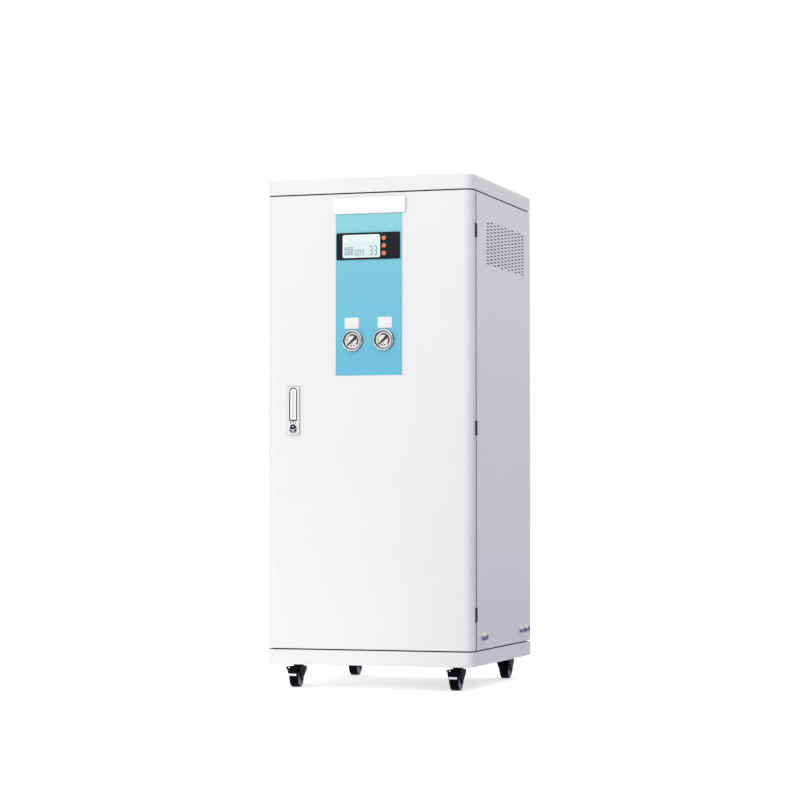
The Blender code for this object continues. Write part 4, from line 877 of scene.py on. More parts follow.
class PURIFIER_OT_gasket(Maker):
    """Puts in the door's foam, near-black strips in the seams as painted shade, and the fleece behind the
    vents, whose grey is also painted shade
    """

    bl_idname = "purifier.gasket"
    bl_label = "Door gasket"

    def make(self):
        low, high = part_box("door")
        width = looks("case").gasket
        inset = 30 * MM
        middle = centre_of("door")
        outline = oblong(high[0] - low[0] - 2 * inset, high[2] - low[2] - 2 * inset, 6 * MM, 4)
        back = low[1] + 1.5 * MM + 2 * HAIR
        section = [(0, 0), (0, 3.2 * MM), (1 * MM, 4 * MM)]
        section += [(width - inset, height) for inset, height in section[::-1]]
        shape = turned(rim(outline, section), REAR, (middle[0], back, middle[2]))
        put("door_gasket", [(shape, "foam_gasket_and_seam_shade")], "door_leaf")
        self.seam_shade_strip()
        self.fleece()

    def seam_shade_strip(self):
        """A near-black strip down the seam between the door and each side panel: painted shade in the gap.

        On the right it is turned over the panel's edge as well, in pieces that leave the hinges free; these
        laps are painted shade on the panel's face beside the gap."""
        hinges = [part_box(f"hinge_body_leaf_{place}") for place in ("lower", "middle", "upper")]
        for side, face in (("left", -1), ("right", 1)):
            low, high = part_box(f"side_panel_{side}")
            outside = high[0] if face > 0 else low[0]
            x = sorted((outside - face * 0.8 * MM, outside - face * 4.0 * MM))
            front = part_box("door")[1][1] + 0.4 * MM
            foot, head = low[2] + 1 * MM, high[2] - 1 * MM
            # Near-black strip in the gap: painted shade.
            strip = block((x[0], front, foot), (x[1], low[1] - HAIR, head), 0.4 * MM, 0.2 * MM)
            parts = [(strip, "foam_gasket_and_seam_shade")]
            edges = [height for leaf in hinges for height in (leaf[0][2] - 1 * MM, leaf[1][2] + 1 * MM)]
            edges = [foot, *edges, head] if side == "right" else []
            for start, end in zip(edges[::2], edges[1::2]):
                # The laps lie on the panel's face beside the gap: painted shade.
                lap = block((outside + HAIR, front, start), (outside + 0.3 * MM, low[1] + 1.7 * MM, end),
                            0.1 * MM, 0.1 * MM)
                parts.append((lap, "foam_gasket_and_seam_shade"))
            put(f"seam_shade_strip_{side}", parts, "cabinet")
        self.lining("tray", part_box("base_tray")[1][2] - 3.2 * MM, 1)
        self.lining("lid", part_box("lid")[0][2] + 3.2 * MM, -1)

    def lining(self, name, height, way):
        """A thin near-black sheet in the seam above the tray or below the lid, painted shade in the gap: a
        rim and a deeper front strip.
        """
        low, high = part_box("lid")
        middle = centre_of("lid")
        levels = sorted((height + way * HAIR, height + way * 0.7 * MM))
        outline = oblong(high[0] - low[0] - 2.4 * MM, high[1] - low[1] - 2.4 * MM, 20.8 * MM, 8, middle[:2])
        # Near-black rim and front strip in the seam: painted shade.
        band = rim(outline, [(0, levels[0]), (0, levels[1]), (8.6 * MM, levels[1]), (8.6 * MM, levels[0])])
        deep = block((low[0] + 12 * MM, low[1] + 9.9 * MM, levels[0]),
                     (high[0] - 12 * MM, low[1] + 36.6 * MM, levels[1]), 0.5 * MM, 0.1 * MM)
        put(f"seam_shade_lining_{name}", [(band, "foam_gasket_and_seam_shade"), (deep, "foam_gasket_and_seam_shade")], "cabinet")

    def fleece(self):
        """A thin dust filter behind the vent slots, whose grey is also painted shade inside them."""
        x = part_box("side_panel_right")[1][0] - 2.4 * MM
        sheet = block((x - 1.2 * MM, -0.16, 1.06), (x, 0.24, 1.23), 0.4 * MM, 0.2 * MM)
        put("vent_fleece", [(sheet, "fleece_and_vent_shade")], "cabinet")


class PURIFIER_OT_face(Maker):
    """Makes the printed sheet, the bare name plate and the two bare stickers"""

    bl_idname = "purifier.face"
    bl_label = "Door face"

    def make(self):
        panel = looks("panel")
        dress("printed_polycarbonate", "overlay", edge=0.15 * MM)
        low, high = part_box("overlay")
        door_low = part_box("door")[0]
        plate_at = (3.5 * MM, door_low[1], high[2] + panel.plate_height / 2 + 0.3 * MM)
        outline = oblong(panel.plate_width, panel.plate_height, panel.plate_corner, 8)
        # The tape's dark grey stands for the shadow line under the plate: painted shadow.
        tape = slab(outline, [(0.9 * MM, HAIR), (0.9 * MM, 2.4 * MM)])
        sheet = slab(outline, soft(2.4 * MM, 5.2 * MM, 0.9 * MM, 0.3 * MM))
        put("name_plate", set_at([(sheet, "polished_acrylic_plate"), (tape, "foam_tape_and_shadow_line")], FRONT, plate_at),
            "door_leaf")
        for side, x, z in (("left", -44.4 * MM, 937 * MM), ("right", 44.9 * MM, 937.5 * MM)):
            label = slab(oblong(panel.sticker_width, panel.sticker_height, 2.5 * MM),
                         soft(HAIR, 0.35 * MM, 0.12 * MM, 0, 2))
            put(f"label_sticker_{side}", [(turned(label, FRONT, (x, low[1], z)), "vinyl_sticker")],
                "door_leaf")


SEGMENTS = {"0": "abcdef", "3": "abgcd", "9": "abcfgd"}


def bars(digit, width, height, thick):
    """The lit bars of a seven-segment digit, as flat six-sided outlines about its lower left corner."""
    half = thick / 2
    nick = thick * 0.18
    across = [(nick, 0), (half + nick, half), (width - half - nick, half), (width - nick, 0),
              (width - half - nick, -half), (half + nick, -half)]
    tall = height / 2
    upright = [(0, nick), (half, half + nick), (half, tall - half - nick), (0, tall - nick),
               (-half, tall - half - nick), (-half, half + nick)]
    lying = {"a": height, "g": tall, "d": 0}
    standing = {"f": (0, tall), "b": (width, tall), "e": (0, 0), "c": (width, 0)}
    for bar in SEGMENTS[digit]:
        if bar in lying:
            yield np.array(across)[::-1] + (0, lying[bar])
        else:
            yield np.array(upright)[::-1] + standing[bar]


class PURIFIER_OT_display(Maker):
    """Makes the display with its digits, and the three keys"""

    bl_idname = "purifier.display"
    bl_label = "Display and keys"

    def digits(self, text, left, low, width, height, thick, pitch):
        """Thin plates for the lit bars of a number."""
        for place, digit in enumerate(text):
            for bar in bars(digit, width, height, thick):
                yield slab(bar + (left + place * pitch, low), [(0, HAIR), (0, 0.16 * MM)])

    def make(self):
        dress("moulded_navy_abs", "display_bezel", edge=0.5 * MM)
        dress("backlit_display_glass", "lcd")
        low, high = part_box("lcd")
        face = low[1]
        width, height = high[0] - low[0], high[2] - low[2]
        corner = (low[0], face, low[2])
        frame_rim = rim(oblong(width - 0.2 * MM, height - 0.2 * MM, 4 * MM),
                        mm([(0, 0.02), (0.2, 0.3), (2.0, 0.3), (2.5, 0.02)]))
        middle = centre_of("lcd")
        frame_rim = turned(frame_rim, FRONT, (middle[0], face, middle[2]))
        put("display_frame", [(frame_rim, "display_frame_white")], "door_leaf")
        big = [(shape, "segment_dark") for shape in
               self.digits("33", 72 * MM, 6.5 * MM, 7.6 * MM, 22.5 * MM, 2.0 * MM, 12.2 * MM)]
        small = [(shape, "segment_dark") for shape in
                 self.digits("009", 34.5 * MM, 6.5 * MM, 5.0 * MM, 14 * MM, 1.4 * MM, 8.8 * MM)]
        put("display_number_right", set_at(big, FRONT, corner), "door_leaf")
        put("display_number_middle", set_at(small, FRONT, corner), "door_leaf")
        marks = []
        for column in range(6):
            for row in range(5):
                cell = oblong(2.9 * MM, 3.4 * MM, 0.3 * MM, 2,
                              ((6.6 + 4.2 * column) * MM, (8.4 + 4.4 * row) * MM))
                marks.append((slab(cell, [(0, HAIR), (0, 0.14 * MM)]), "segment_mid"))
        for dash in range(7):
            line = oblong(7.5 * MM, 1.0 * MM, 0.3 * MM, 2, ((12 + 12.2 * dash) * MM, 35.2 * MM))
            marks.append((slab(line, [(0, HAIR), (0, 0.14 * MM)]), "segment_pale"))
        ring = slab(wedge(3.1 * MM, 3.9 * MM, 0, TURN * 0.97, 30), [(0, HAIR), (0, 0.14 * MM)])
        marks.append((turned(ring, UP, (20.5 * MM, 46 * MM, 0)), "segment_pale"))
        put("display_marks", set_at(marks, FRONT, corner), "door_leaf")
        for number in (1, 2, 3):
            node = f"key_{number}"
            middle = centre_of(node)
            radius = (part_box(node)[1][0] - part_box(node)[0][0]) / 2
            bezel_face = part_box("display_bezel")[0][1]
            dimple = mm([(0, 3.0), (0.9, 3.05), (1.6, 3.35)])
            dome = mm([(1.6, 3.35), (2.2, 3.72), (2.9, 3.78), (3.9, 3.4), (4.9, 2.55), (5.6, 1.4)])
            dome += [(radius, 0.2 * MM), (radius, -4.9 * MM), (0, -4.9 * MM)]
            at = (middle[0], bezel_face, middle[2])
            # The dimple gets the darker rubber: painted shade in the hollow.
            parts = [(spun(dimple, 40), "key_dimple_painted_shade"), (spun(dome, 40), "silicone_key")]
            put(f"push_{node}", set_at(parts, FRONT, at), node, [node], crease=50)


class PURIFIER_OT_gauges(Maker):
    """Makes the two panel gauges with their dials, needles and glasses"""

    bl_idname = "purifier.gauges"
    bl_label = "Gauges"

    rise = 7.5 * MM
    face = 2.3 * MM
    outer = 28 * MM
    sweep = math.radians(270)

    def angle(self, share):
        """Direction of a share of the scale: from lower left, clockwise over the top, to lower right."""
        return math.radians(225) - share * self.sweep

    def dial(self, gauge):
        """The printed dial: coloured arcs, ticks, numbers and the three marks below the middle."""
        top = self.face + 0.15 * MM
        ink = [(0, top), (0, top + 0.12 * MM)]
        parts = [(slab(disc(gauge.dial_radius, gauge.sides), [(0, self.face - 0.2 * MM), (0, top)]),
                  "printed_white_dial")]
        arc = gauge.arc_radius
        for kind, start, end, thick in (("dial_green", 0.04, 0.40, 2.6), ("black_ink_and_recess_shade", 0.41, 0.68, 4.2),
                                        ("dial_red", 0.68, 0.99, 4.2)):
            band = wedge(arc - thick / 2 * MM, arc + thick / 2 * MM, self.angle(end), self.angle(start), 20)
            parts.append((slab(band, ink), kind))
        for step in range(21):
            long = step % 4 == 0
            inner = arc + 2.0 * MM
            tick = oblong((2.6 if long else 1.4) * MM, (0.7 if long else 0.3) * MM, 0.1 * MM, 1)
            shape = slab(tick + (inner + (1.3 if long else 0.7) * MM, 0), ink)
            parts.append((swung(shape, self.angle(step / 20)), "black_ink_and_recess_shade"))
        for x in (-3.8 * MM, 3.8 * MM):
            parts.append((slab(oblong(4.2 * MM, 3.4 * MM, 1.0 * MM, 3, (x, -12.8 * MM)), ink), "black_ink_and_recess_shade"))
        parts.append((slab(oblong(2.8 * MM, 1.6 * MM, 0.4 * MM, 3, (0, -8.6 * MM)), ink), "dial_grey"))
        return parts + [(shape, "dial_grey") for shape in self.numbers(arc, top)]

    def numbers(self, arc, top):
        """Scale numbers, set upright inside the arc. Each is text turned into a mesh."""
        for step in range(6):
            curve = bpy.data.curves.new("scale_number", "FONT")
            curve.body = str(2 * step)
            curve.size = 3.2 * MM
            curve.align_x = "CENTER"
            curve.align_y = "CENTER"
            curve.extrude = 0.05 * MM
            holder = bpy.data.objects.new("scale_number", curve)
            bpy.context.scene.collection.objects.link(holder)
            mesh = holder.to_mesh()
            points = np.empty(len(mesh.vertices) * 3)
            mesh.vertices.foreach_get("co", points)
            faces = [list(face.vertices) for face in mesh.polygons]
            holder.to_mesh_clear()
            bpy.data.objects.remove(holder)
            bpy.data.curves.remove(curve)
            angle = self.angle(step / 5)
            place = (arc - 4.2 * MM) * np.array([math.cos(angle), math.sin(angle)])
            yield points.reshape(-1, 3) + (*place, top + 0.06 * MM), faces

    def make(self):
        gauge = looks("gauge")
        sides = gauge.sides
        rise, face, outer = self.rise, self.face, self.outer
        roll = bowed(1.5 * MM, QUARTER, 0, 6, (26.6 * MM - 1.5 * MM, rise - 1.5 * MM))
        inner_roll = bowed(1.0 * MM, math.pi, QUARTER, 5, (24.7 * MM, rise - 1.0 * MM))
        ring = [(23.7 * MM, rise - 2.0 * MM), (23.7 * MM, rise - 1.2 * MM)] + inner_roll.tolist()
        ring += roll.tolist() + [(26.6 * MM, 3.0 * MM)]
        # The skirt's darker metal is painted shade at the foot of the ring.
        skirt = [(26.6 * MM, 3.0 * MM), (27.0 * MM, 2.6 * MM), (outer - 0.2 * MM, 2.2 * MM),
                 (outer, 1.8 * MM), (outer, 0.02 * MM), (25 * MM, 0.02 * MM)]
        # The black ring under the chrome is partly the glass's rubber seat and partly a painted reflection of
        # a dark line.
        gasket = [(23.7 * MM, rise - 2.0 * MM), (22.4 * MM, rise - 2.6 * MM),
                  (gauge.dial_radius, face + 0.9 * MM), (gauge.dial_radius, face - 0.3 * MM),
                  (0, face - 0.3 * MM)]
        can = mm([(25, 0.02), (25, -23), (24, -24), (6.5, -24)])
        stem = mm([(6.5, -24), (6.5, -26), (5.6, -26.6)])
        stem += [(r * MM, -(27 + 0.9 * k) * MM) for k in range(12) for r in (6.3, 5.6)[k % 2:k % 2 + 1]]
        stem += mm([(5.2, -38), (0, -38)])
        for side in ("left", "right"):
            low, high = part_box(f"gauge_case_{side}")
            at = ((low[0] + high[0]) / 2, low[1] + rise, (low[2] + high[2]) / 2)
            shell = [(spun(ring, sides), "chrome_plated_brass"), (spun(skirt, sides), "chrome_skirt_painted_shade"),
                     (spun(gasket, sides), "gauge_gasket_painted_reflection"),
                     (spun(can, sides), "black_motor_paint"), (spun(stem, 32), "brass_fitting")]
            put(f"gauge_body_{side}", set_at(shell, FRONT, at), "door_leaf",
                [f"gauge_case_{side}"])
            put(f"gauge_dial_{side}", set_at(self.dial(gauge), FRONT, at), "door_leaf")
            pane = spun([(0, rise - 1.5 * MM), (22.0 * MM, rise - 1.55 * MM), (23.6 * MM, rise - 1.7 * MM),
                         (23.6 * MM, rise - 2.5 * MM), (0, rise - 2.5 * MM)], sides)
            put(f"gauge_glass_{side}", [(turned(pane, FRONT, at), "polished_gauge_glass")], "door_leaf",
                [f"gauge_lens_{side}"])
            self.needle(side, at)

    def needle(self, side, at):
        """A stamped needle: narrow tip, waisted root, broad tail, and a domed hub."""
        upper = [(18.6, 1.3), (2.4, 2.7), (-3.0, 3.0), (-5.0, 3.6), (-13.4, 3.9)]
        outline = [(18.6, -1.3)] + upper + [(x, -y) for x, y in upper[:0:-1]]
        blade = slab(np.array(outline) * MM, soft(3.05 * MM, 3.75 * MM, 0.15 * MM, 0, 2))
        dome = mm([(0, 4.35), (1.2, 4.25), (2.2, 3.8), (2.4, 3.1), (0, 3.1)])
        blade = swung(blade, math.radians(222))
        parts = [(shape, "blackened_brass_needle") for shape in (blade, spun(dome, 32))]
        put(f"gauge_hand_{side}", set_at(parts, FRONT, at), f"needle_{side}",
            [f"gauge_needle_{side}"])


class PURIFIER_OT_lock(Maker):
    """Makes the lock: housing, tilting handle and key button"""

    bl_idname = "purifier.lock"
    bl_label = "Lock"

    def make(self):
        dress("lock_housing_enamel_and_pocket_shade", "lock_plate", edge=0.4 * MM)
        low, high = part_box("lock_plate")
        button_low, button_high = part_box("lock_button")
        button_x = (button_low[0] + button_high[0]) / 2
        button_z = (button_low[2] + button_high[2]) / 2
        face = low[1]
        # A thin dark grey arch over the button: painted shade along the boss's edge.
        bow = wedge(6.8 * MM, 8.0 * MM, math.radians(4), math.radians(176), 24)
        arch = slab(bow, soft(HAIR, 0.5 * MM, 0.2 * MM, 0, 2))
        # A near-black crescent on the plate under the button: painted shadow below it.
        crescent = np.concatenate([bowed(9.8 * MM, math.pi, TURN, 24, (0, -4.4 * MM)),
                                   bowed(9.35 * MM, 0, -math.pi, 24)])
        shade = slab(crescent, soft(HAIR, 0.3 * MM, 0.1 * MM, 0, 2))
        pointer = slab(np.array([(-4.6, -9.0), (0, -13.6), (4.6, -9.0), (0, -10.6)]) * MM,
                       soft(0.25 * MM, 0.7 * MM, 0.15 * MM, 0, 2))
        parts = [(turned(arch, FRONT, (button_x, face, button_z + 9.0 * MM)), "lock_arch_painted_shade"),
                 (turned(shade, FRONT, (button_x, face, button_z)), "lock_shadow_black"),
                 (turned(pointer, FRONT, (button_x, face, button_z)), "display_frame_white")]
        middle = ((low[0] + high[0]) / 2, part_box("door")[0][1], (low[2] + high[2]) / 2)
        seal = rim(oblong(high[0] - low[0] + 2.2 * MM, high[2] - low[2] + 2.2 * MM, 2.6 * MM),
                   [(0, HAIR), (0, 1.0 * MM), (0.9 * MM, 1.6 * MM), (1.05 * MM, 1.6 * MM), (1.05 * MM, HAIR)])
        parts.append((turned(seal, FRONT, middle), "lock_trim_grey"))
        put("lock_trim", parts, "door_leaf")
        self.handle(face)
        self.button(button_x, face, button_z)

    def handle(self, face):
        """The grip with rounded edges and a sunk strip, its pivot, crank and tongue."""
        low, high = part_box("lock_handle")
        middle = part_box("lock_plate")
        x = (middle[0][0] + middle[1][0]) / 2
        width = min(2 * (high[0] - x), 16 * MM)
        foot, head = low[2], high[2]
        thick = 7 * MM
        outer = round_top(width, foot, head)
        strip = 4.6 * MM
        levels = soft(-thick, 0, 1.4 * MM, 0.6 * MM) + [(strip, 0), (strip + 0.3 * MM, -0.35 * MM)]
        shell = slab(outer, levels, lid=False)
        # The strip's floor is greyer than the grip: painted shade in the recess.
        floor = slab(outer, [(strip + 0.3 * MM, -0.35 * MM), (strip + 0.35 * MM, -0.36 * MM)], base=False)
        parts = [(shell, "enamelled_zinc_casting"), (floor, "handle_strip_painted_shade")]
        pivot_z = head - width / 2
        depth = high[1] - face
        crank = block((-4 * MM, pivot_z - 3 * MM, -depth), (4 * MM, pivot_z + 3 * MM, -thick + HAIR))
        tongue = block((low[0] - x, pivot_z - 4.5 * MM, -depth + HAIR),
                       (4 * MM, pivot_z + 4.5 * MM, 3 * MM - depth))
        parts += [(crank, "zinc_plated_steel"), (tongue, "zinc_plated_steel")]
        pin = spun(mm([(0, 12), (1.3, 12), (1.6, 11.7), (1.6, -11.7), (1.3, -12), (0, -12)]), 24)
        pin = turned(pin, RIGHT, (0, pivot_z, -2.4 * MM))
        parts.append((pin, "zinc_plated_steel"))
        put("lock_grip", set_at(parts, FRONT, (x, face, 0)), "lock_handle", ["lock_handle"])

    def button(self, x, face, z):
        """The round key button: dark cylinder, partly painted shade, bright rim, pale chevron, navy cap and a
        small white stud that is partly a painted highlight.
        """
        radius = 9 * MM
        core = mm([(0, 0.5), (7.9, 0.5)])
        edge = mm([(7.9, 0.5), (8.1, 1.2), (8.5, 1.45), (8.85, 1.2)])
        edge += [(radius, 0.8 * MM), (radius, -12 * MM), (0, -12 * MM)]
        cap = np.concatenate([bowed(8.3 * MM, math.radians(-14), math.radians(194), 30, (0, 0.2 * MM)),
                              mm([(-0.6, -5.6), (0.6, -5.6)])])
        chevron = np.array([(0, -6.0), (7.6, -1.6), (7.0, -3.8), (0, -9.0), (-7.0, -3.8), (-7.6, -1.6)]) * MM
        # A white stud in the middle of the cap: partly a rivet, partly a painted highlight.
        stud = mm([(0, 2.75), (0.9, 2.6), (1.5, 2.1), (1.5, 1.5), (0, 1.5)])
        parts = [(spun(core, 48), "lock_shadow_black"), (spun(edge, 48), "satin_nickel"),
                 (slab(cap * 0.98, soft(0.45 * MM, 1.9 * MM, 0.7 * MM, 0, 4)), "navy_gloss_cap"),
                 (slab(chevron * 0.86, soft(0.45 * MM, 1.3 * MM, 0.25 * MM, 0, 2)), "display_frame_white"),
                 (turned(spun(stud, 24), UP, (0, 2.6 * MM, 0)), "display_frame_white")]
        put("lock_key_button", set_at(parts, FRONT, (x, face, z)), "lock_button",
            ["lock_button"])


class PURIFIER_OT_hinges(Maker):
    """Gives the hinge leaves their finish"""

    bl_idname = "purifier.hinges"
    bl_label = "Hinges"

    def make(self):
        for place in ("lower", "middle", "upper"):
            dress("dark_zinc_hinge", f"hinge_body_leaf_{place}", f"hinge_door_leaf_{place}", edge=0.2 * MM)


class PURIFIER_OT_casters(Maker):
    """Makes the four casters: plates, forks, wheels and brake pedals"""

    bl_idname = "purifier.casters"
    bl_label = "Casters"

    def make(self):
        for end in ("front", "rear"):
            for hand in ("left", "right"):
                self.caster(f"{end}_{hand}", 1 if end == "rear" else -1)

    def caster(self, label, way):
        """One caster. Its own x axis points across and its y axis forward from the swivel."""
        dress("gloss_black_steel", f"caster_plate_{label}", edge=0.4 * MM)
        low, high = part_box(f"caster_plate_{label}")
        x = (low[0] + high[0]) / 2
        swivel_y = (low[1] + high[1]) / 2
        facing = np.array([[way, 0, 0], [0, way, 0], [0, 0, 1]])
        swivel = (x, swivel_y, 0)
        bolts = []
        for across in (-1, 1):
            for along in (-1, 1):
                spot = (across * 15.5 * MM, along * 15.5 * MM, low[2] + 9.9 * MM - HAIR)
                bolts += set_at(hex_head(3.4 * MM, 2.0 * MM), DOWN, spot)
        put(f"caster_bolts_{label}", set_at(bolts, facing, swivel), "cabinet")
        self.fork(label, facing, swivel)
        self.wheel(label)
        if way < 0:
            self.pedal(label, facing, swivel)

    def fork(self, label, facing, swivel):
        """The pressed fork: two cheeks with rounded rims, a crown, a race ring and the axle's ends."""
        low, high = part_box(f"caster_fork_{label}")
        top = high[2]
        axle = (18 * MM, 25 * MM)
        boss = bowed(9.5 * MM, math.pi, TURN, 16, axle)
        shoulder = top - 10.5 * MM
        back = [(42 * MM, top), (-12 * MM, top), (-15 * MM, top - 3 * MM), (-15 * MM, shoulder)]
        side = np.concatenate([back, boss, [(42 * MM, shoulder)]])
        along = np.array([[0, 0, 1], [1, 0, 0], [0, 1, 0]])
        cheek = slab(side, soft(0, 2.2 * MM, 0.7 * MM, 0, 3))
        inner = high[0] - (low[0] + high[0]) / 2 - 2.2 * MM
        right = turned(cheek, along, (inner, 0, 0))
        points, faces = right
        left = (points * (-1, 1, 1), faces)
        crown = slab(oblong(2 * inner + 1 * MM, 55.6 * MM, 2 * MM, 4, (0, 13.5 * MM)),
                     soft(top - 2.5 * MM, top - HAIR, 0.4 * MM, 0, 3))
        race = spun([(4.4 * MM, top - 2.45 * MM), (16.6 * MM, top - 2.45 * MM), (17 * MM, top - 1.9 * MM),
                     (17 * MM, top - 0.5 * MM), (16.4 * MM, top - HAIR / 2), (4.4 * MM, top - HAIR / 2),
                     (4.4 * MM, top - 2.45 * MM)], 48)
        parts = [(shape, "moulded_black_nylon") for shape in (right, left, crown)]
        parts.append((race, "gloss_black_steel"))
        for way_out, turn in ((1, RIGHT), (-1, LEFT)):
            spot = (way_out * (inner + 2.2 * MM - HAIR), axle[0], axle[1])
            parts += set_at(self.axle_end(), turn, spot)
        rod = spun([(0, inner), (3 * MM, inner), (3 * MM, -inner), (0, -inner)], 24)
        parts.append((turned(rod, RIGHT, (0, *axle)), "zinc_plated_steel"))
        put(f"caster_hood_{label}", set_at(parts, facing, swivel), f"fork_{label}",
            [f"caster_fork_{label}"])

    def axle_end(self):
        """A low domed head where the axle comes through the fork's cheek."""
        head = mm([(0, 1.3), (1.4, 1.2), (2.6, 0.85), (3.5, 0.2), (3.5, 0), (0, 0)])
        return [(spun(head, 24), "gloss_black_steel")]

    def wheel(self, label):
        """The wheel: a crowned tread, rounded shoulders, dished sides with a rim step, and its boss."""
        middle = centre_of(f"caster_wheel_{label}")
        half = (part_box(f"caster_wheel_{label}")[1][0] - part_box(f"caster_wheel_{label}")[0][0]) / 2
        rim_radius = 25 * MM
        shoulder = bowed(3.2 * MM, 0, QUARTER, 6, (half - 3.2 * MM, rim_radius - 3.2 * MM))
        shoulder = [(radius, height) for height, radius in shoulder]
        tread = shoulder + [(radius, -height) for radius, height in reversed(shoulder)]
        dish = [(21.0, 0.3), (20.4, 1.6), (19.6, 2.1), (10.2, 2.6), (9.2, 2.0), (8.5, 0.4), (8.1, 0),
                (3.3, 0)]
        web = [shoulder[0]] + [(radius * MM, half - depth * MM) for radius, depth in dish]
        bore = [(3.3 * MM, half), (3.3 * MM, -half)]
        far_web = [(radius, -height) for radius, height in web]
        # The wheel's sides take the lavender hub colour: a painted sheen.
        parts = [(spun(tread, 64), "black_wheel_polyurethane"), (spun(web, 64), "hub_painted_sheen"),
                 (spun(far_web, 64), "hub_painted_sheen"), (spun(bore, 64), "hub_painted_sheen")]
        put(f"caster_roller_{label}", set_at(parts, RIGHT, middle), f"wheel_{label}",
            [f"caster_wheel_{label}"])

    def pedal(self, label, facing, swivel):
        """The pedal: a gusseted tread whose side view is carried across, a near-white shoe and a rivet, both
        partly painted highlight.
        """
        side = np.array([(46.5, 29.1), (48.7, 29.0), (49.3, 37.0), (62.0, 48.6), (62.0, 54.3),
                         (56.0, 54.3), (37.0, 50.6), (34.4, 50.2), (33.2, 47.5), (34.4, 44.8),
                         (43.8, 44.4), (46.5, 40.0)]) * MM
        across = np.array([[0, 0, 1], [1, 0, 0], [0, 1, 0]])
        body = slab(side, soft(-11.2 * MM, 11.2 * MM, 0.6 * MM, 0.6 * MM, 2))
        lip = block((-14 * MM, 56 * MM, 50.4 * MM), (14 * MM, 62.05 * MM, 54.5 * MM), 1.2 * MM, 0.6 * MM)
        # A near-white shoe in front of the tread: partly a painted highlight on the wheel.
        shoe = block((-10.8 * MM, 48.2 * MM, 30.4 * MM), (10.8 * MM, 49.5 * MM, 35.8 * MM),
                     0.3 * MM, 0.3 * MM)
        head = spun(mm([(0, 0.9), (1.2, 0.75), (2.0, 0.1), (2.0, 0), (0, 0)]), 20)
        ahead = np.array([[-1, 0, 0], [0, 0, 1], [0, 1, 0]])
        parts = [(turned(body, across), "moulded_black_nylon"), (lip, "moulded_black_nylon"),
                 (shoe, "shoe_painted_highlight"),
                 (turned(head, ahead, (4.5 * MM, 62 * MM, 52.2 * MM)), "shoe_painted_highlight")]
        put(f"brake_pedal_{label}", set_at(parts, facing, swivel), f"pedal_{label}",
            [f"caster_pedal_{label}"])


class PURIFIER_OT_ports(Maker):
    """Makes the three push-fit ports with their collets and nuts"""

    bl_idname = "purifier.ports"
    bl_label = "Ports"

    def make(self):
        for name in ("inlet", "product", "drain"):
            low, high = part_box(f"port_{name}")
            at = (high[0] - 14 * MM, (low[1] + high[1]) / 2, (low[2] + high[2]) / 2)
            body = mm([(5.9, 10.6), (7.0, 11), (7.6, 10.8), (7.8, 10.2), (7.8, 6.4), (8.1, 6), (9.1, 5.9),
                       (9.5, 5.5), (9.5, 0.3), (6.2, 0.3), (6.2, -22), (3.4, -22), (3.4, 10), (5.9, 10.6)])
            collet = mm([(3.4, 10), (3.4, 13.6), (3.8, 14), (5.6, 14), (5.8, 13.7), (5.8, 12.6),
                         (4.9, 12.2), (4.9, 10.4), (3.4, 10)])
            nut = slab(disc(9.9 * MM, 6), soft(-6.8 * MM, -1.85 * MM, 0.6 * MM, 0.6 * MM, 2))
            parts = [(spun(body, 48), "violet_acetal_painted_top_light"), (spun(collet, 48), "grey_collet"),
                     (nut, "acetal_port")]
            put(f"push_fit_{name}", set_at(parts, RIGHT, at), "cabinet", [f"port_{name}"])


class PURIFIER_OT_filters(Maker):
    """Makes the filter head and its three ribbed bowls"""

    bl_idname = "purifier.filters"
    bl_label = "Filters"

    def make(self):
        dress("moulded_white_polypropylene", "filter_head", edge=1.2 * MM)
        for label in ("sediment", "carbon", "polish"):
            node = f"filter_bowl_{label}"
            middle = centre_of(node)
            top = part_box(node)[1][2]
            profile = mm([(40.3, 0), (48.2, 0), (48.9, -0.8), (48.9, -2)])
            profile += mm([(48.9, -3, 1.6), (48.9, -20, 1.6), (47.4, -22), (43.2, -22.4), (42.9, -26)])
            profile += mm([(42.6, -30, 0.9), (37.6, -236, 0.9)])
            foot = bowed(12 * MM, 0, -QUARTER, 8, (24.9 * MM, -243 * MM)).tolist()
            profile += [(36.9 * MM, -240 * MM)] + foot
            profile += mm([(10, -255), (8, -252.5), (0, -252.5)])
            profile += mm([(0, -251.5), (24, -251.5), (33.9, -243), (40.3, -22), (40.3, 0)])
            shape = turned(spun(profile, 168, looks("water").ribs), UP, (middle[0], middle[1], top))
            put(f"ribbed_bowl_{label}", [(shape, "blue_san_bowl")], "cabinet", [node])


